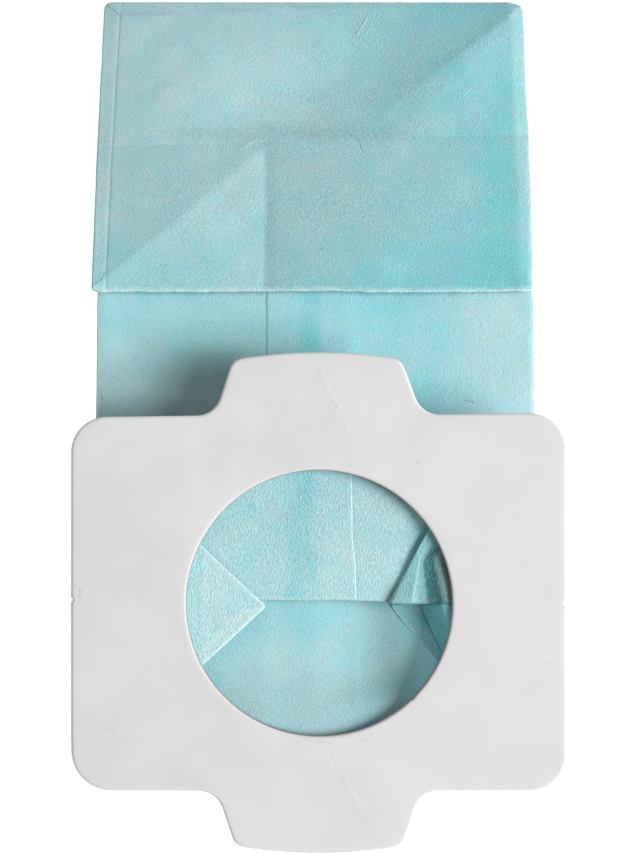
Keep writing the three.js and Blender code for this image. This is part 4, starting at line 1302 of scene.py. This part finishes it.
def board(name, folds=(), scuffs=()):
    m = Nodes(name)
    tc = m.new("ShaderNodeTexCoord")
    P = m.vmath("SCALE", tc.outputs["Object"], scale=1000.0)
    P2 = m.vmath("MULTIPLY", P, (1.0, 1.0, 0.0))
    fine = m.noise(P, 2.6, 3.0, 0.6)
    cloud = m.noise(P, 0.07, 2.0, 0.5)
    wob = m.noise(m.vmath("ADD", P, (5.0, 9.0, 0.0)), 0.9, 2.0)
    col = m.mix(m.ramp(cloud, 0.35, 0.65), albedo(224, 224, 225, BOARD_K), albedo(228, 229, 231, BOARD_K))
    t = m.math("ADD", 1.0, m.math("MULTIPLY", m.math("SUBTRACT", fine, 0.5), 0.018))
    col = m.vmath("SCALE", col, scale=t)
    height = m.math("MULTIPLY", m.math("SUBTRACT", fine, 0.5), 0.10)
    for a, b, w, h in folds:
        k = m.segment(P2, plate_xy(*a), plate_xy(*b), w, m.math("MULTIPLY", m.math("SUBTRACT", wob, 0.5), 0.35))
        height = m.math("ADD", height, m.math("MULTIPLY", k, h))
    for a, b, w, h in scuffs:
        k = m.segment(P2, plate_xy(*a), plate_xy(*b), w, m.math("MULTIPLY", m.math("SUBTRACT", m.noise(P, 3.1, 2.0, 0.7), 0.42), 1.1))
        col = m.mix(m.math("MULTIPLY", k, h), col, albedo(112, 112, 116))
        height = m.math("SUBTRACT", height, m.math("MULTIPLY", k, 0.25))
    # the cut-edge stock colour, with painted shade added on the hole's lower-right rim
    cut = m.new("ShaderNodeAttribute", attribute_type="GEOMETRY", attribute_name="cut")
    col = m.mix(m.math("MULTIPLY", cut.outputs["Fac"], 0.85), col, albedo(132, 122, 112, 0.9))
    bump = m.new("ShaderNodeBump")
    bump.inputs["Strength"].default_value = 1.0
    bump.inputs["Distance"].default_value = 0.030 * MM
    m.put(bump.inputs["Height"], height)
    bs = m.new("ShaderNodeBsdfPrincipled")
    m.put(bs.inputs["Base Color"], col)
    bs.inputs["Roughness"].default_value = 0.62
    bs.inputs["Specular IOR Level"].default_value = 0.25
    m.put(bs.inputs["Normal"], bump.outputs[0])
    outn = m.new("ShaderNodeOutputMaterial")
    m.put(outn.inputs[0], bs.outputs[0])
    return m.mat


# hairline folds where the board was flexed: pixel to pixel, width mm, height
FOLDS_TOP = [
    ((312, 362), (321, 372), 0.9, 0.50), ((321, 372), (327, 390), 0.9, 0.75), ((327, 390), (339, 407), 0.8, 0.95),
    ((339, 407), (334, 414), 0.7, 0.95), ((334, 414), (322, 422), 0.7, -0.45), ((322, 422), (309, 436), 0.9, -0.35),
]
FOLDS_MID = [
    ((338, 410), (346, 428), 0.7, 0.55), ((346, 428), (353, 441), 0.7, 0.55), ((353, 441), (351, 456), 0.7, 0.40),
]
FOLDS_LOW = [
    ((335, 757), (344, 777), 0.8, 0.60), ((344, 777), (355, 800), 0.8, 0.70), ((355, 800), (370, 824), 0.9, 0.50),
    ((370, 824), (392, 845), 1.1, 0.35),
]
# short scuffs and rubbed dots: pixel to pixel, width mm, tint
SCUFF_LEFT = [
    ((75, 586), (82, 590), 0.45, 0.20), ((79, 590), (80, 599), 0.40, 0.26), ((73, 594), (78, 596), 0.30, 0.16),
    ((103, 724), (107, 730), 0.35, 0.14), ((108, 729), (116, 735), 0.35, 0.18), ((196, 459), (197, 461), 0.30, 0.10),
]
SCUFF_RIGHT = [
    ((417, 464), (419, 461), 0.35, 0.26), ((449, 580), (450, 583), 0.3, 0.10), ((540, 658), (549, 662), 0.30, 0.07),
    ((541, 607), (546, 611), 0.30, 0.06), ((567.5, 607), (568, 640), 0.28, 0.12),
]
SCUFF_LOW = [
    ((306, 739), (312, 741), 0.40, 0.16), ((318, 741), (331, 743), 0.50, 0.13), ((341, 738), (352, 737), 0.35, 0.12),
    ((356, 741), (366, 740), 0.45, 0.15), ((362, 737), (372, 735), 0.30, 0.16),
]
plate = build_plate()
BOARD_PARTS = [
    (board("board_plain"), None),
    (board("board_top", FOLDS_TOP), (285, 345, 357, 425)),
    (board("board_fold", FOLDS_MID), (300, 425, 372, 462)),
    (board("board_low", FOLDS_LOW), (322, 750, 405, 850)),
    (board("board_rub", (), SCUFF_LOW), (298, 733, 380, 750)),
    (board("board_left", (), SCUFF_LEFT), (68, 455, 200, 742)),
    (board("board_right", (), SCUFF_RIGHT), (412, 455, 570, 668)),
]
for mt, _ in BOARD_PARTS:
    plate.data.materials.append(mt)
for poly in plate.data.polygons:
    c = poly.center / MM
    pu, pv = to_px(c.x, c.y - Y_OFF, c.z)
    for k, (_, zone) in enumerate(BOARD_PARTS):
        if zone and zone[0] <= pu <= zone[2] and zone[1] <= pv <= zone[3]:
            poly.material_index = k
            break
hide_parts("collar_plate")
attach(plate, "root")


# ---------------------------------------------------------------- floor, light, camera
def add_floor():
    me = bpy.data.meshes.new("floor")
    me.from_pydata([(-1.5, -1.5, 0), (1.5, -1.5, 0), (1.5, 1.5, 0), (-1.5, 1.5, 0)], [], [(0, 1, 2, 3)])
    ob = bpy.data.objects.new("floor", me)
    bpy.context.scene.collection.objects.link(ob)
    m = Nodes("floor_white")
    bs = m.new("ShaderNodeBsdfPrincipled")
    bs.inputs["Base Color"].default_value = (0.93, 0.93, 0.93, 1)
    bs.inputs["Roughness"].default_value = 0.95
    bs.inputs["Specular IOR Level"].default_value = 0.0
    bs.inputs["Emission Color"].default_value = (1, 1, 1, 1)
    bs.inputs["Emission Strength"].default_value = 0.72
    outn = m.new("ShaderNodeOutputMaterial")
    m.put(outn.inputs[0], bs.outputs[0])
    me.materials.append(m.mat)
    return ob


floor = add_floor()

world = bpy.data.worlds.new("soft_room")
world.use_nodes = True
bg = world.node_tree.nodes.get("Background") or world.node_tree.nodes.new("ShaderNodeBackground")
bg.inputs[0].default_value = (1.0, 0.965, 0.92, 1)
bg.inputs[1].default_value = 0.30
bpy.context.scene.world = world


def area(name, direction, distance, size, power, colour=(1, 1, 1)):
    ld = bpy.data.lights.new(name, "AREA")
    ld.shape = "DISK"
    ld.size = size
    ld.energy = power
    ld.color = colour
    ob = bpy.data.objects.new(name, ld)
    d = Vector(direction).normalized()
    ob.location = d * distance + Vector((0, -0.02, 0.005))
    ob.rotation_euler = (-d).to_track_quat("-Z", "Y").to_euler()
    bpy.context.scene.collection.objects.link(ob)
    return ob


KEY_EL, KEY_AZ = math.radians(39.6), math.radians(-14.5)
area("key", (math.cos(KEY_EL) * math.cos(KEY_AZ), math.cos(KEY_EL) * math.sin(KEY_AZ), math.sin(KEY_EL)), 1.9, 1.36, 54.5, (0.985, 0.985, 0.985))
area("fill", (-0.4, 0.35, 1.0), 1.3, 0.9, 0.5, (0.98, 0.99, 1.0))

cam_data = bpy.data.cameras.new("camera")
cam_data.sensor_fit = "VERTICAL"
cam_data.sensor_height = 36.0
cam_data.lens = F_PX / 853.0 * 36.0
cam_data.clip_start = 0.01
cam = bpy.data.objects.new("camera", cam_data)
loc = -CAM_D * FWD
cam.location = (loc[0] * MM, (loc[1] + Y_OFF) * MM, loc[2] * MM)
cam.rotation_euler = (math.pi / 2 - ELEV, 0, 0)
bpy.context.scene.collection.objects.link(cam)
bpy.context.scene.camera = cam

sc = bpy.context.scene
sc.view_settings.view_transform = "Standard"
sc.view_settings.look = "None"
sc.view_settings.exposure = 0.0
sc.view_settings.gamma = 1.0
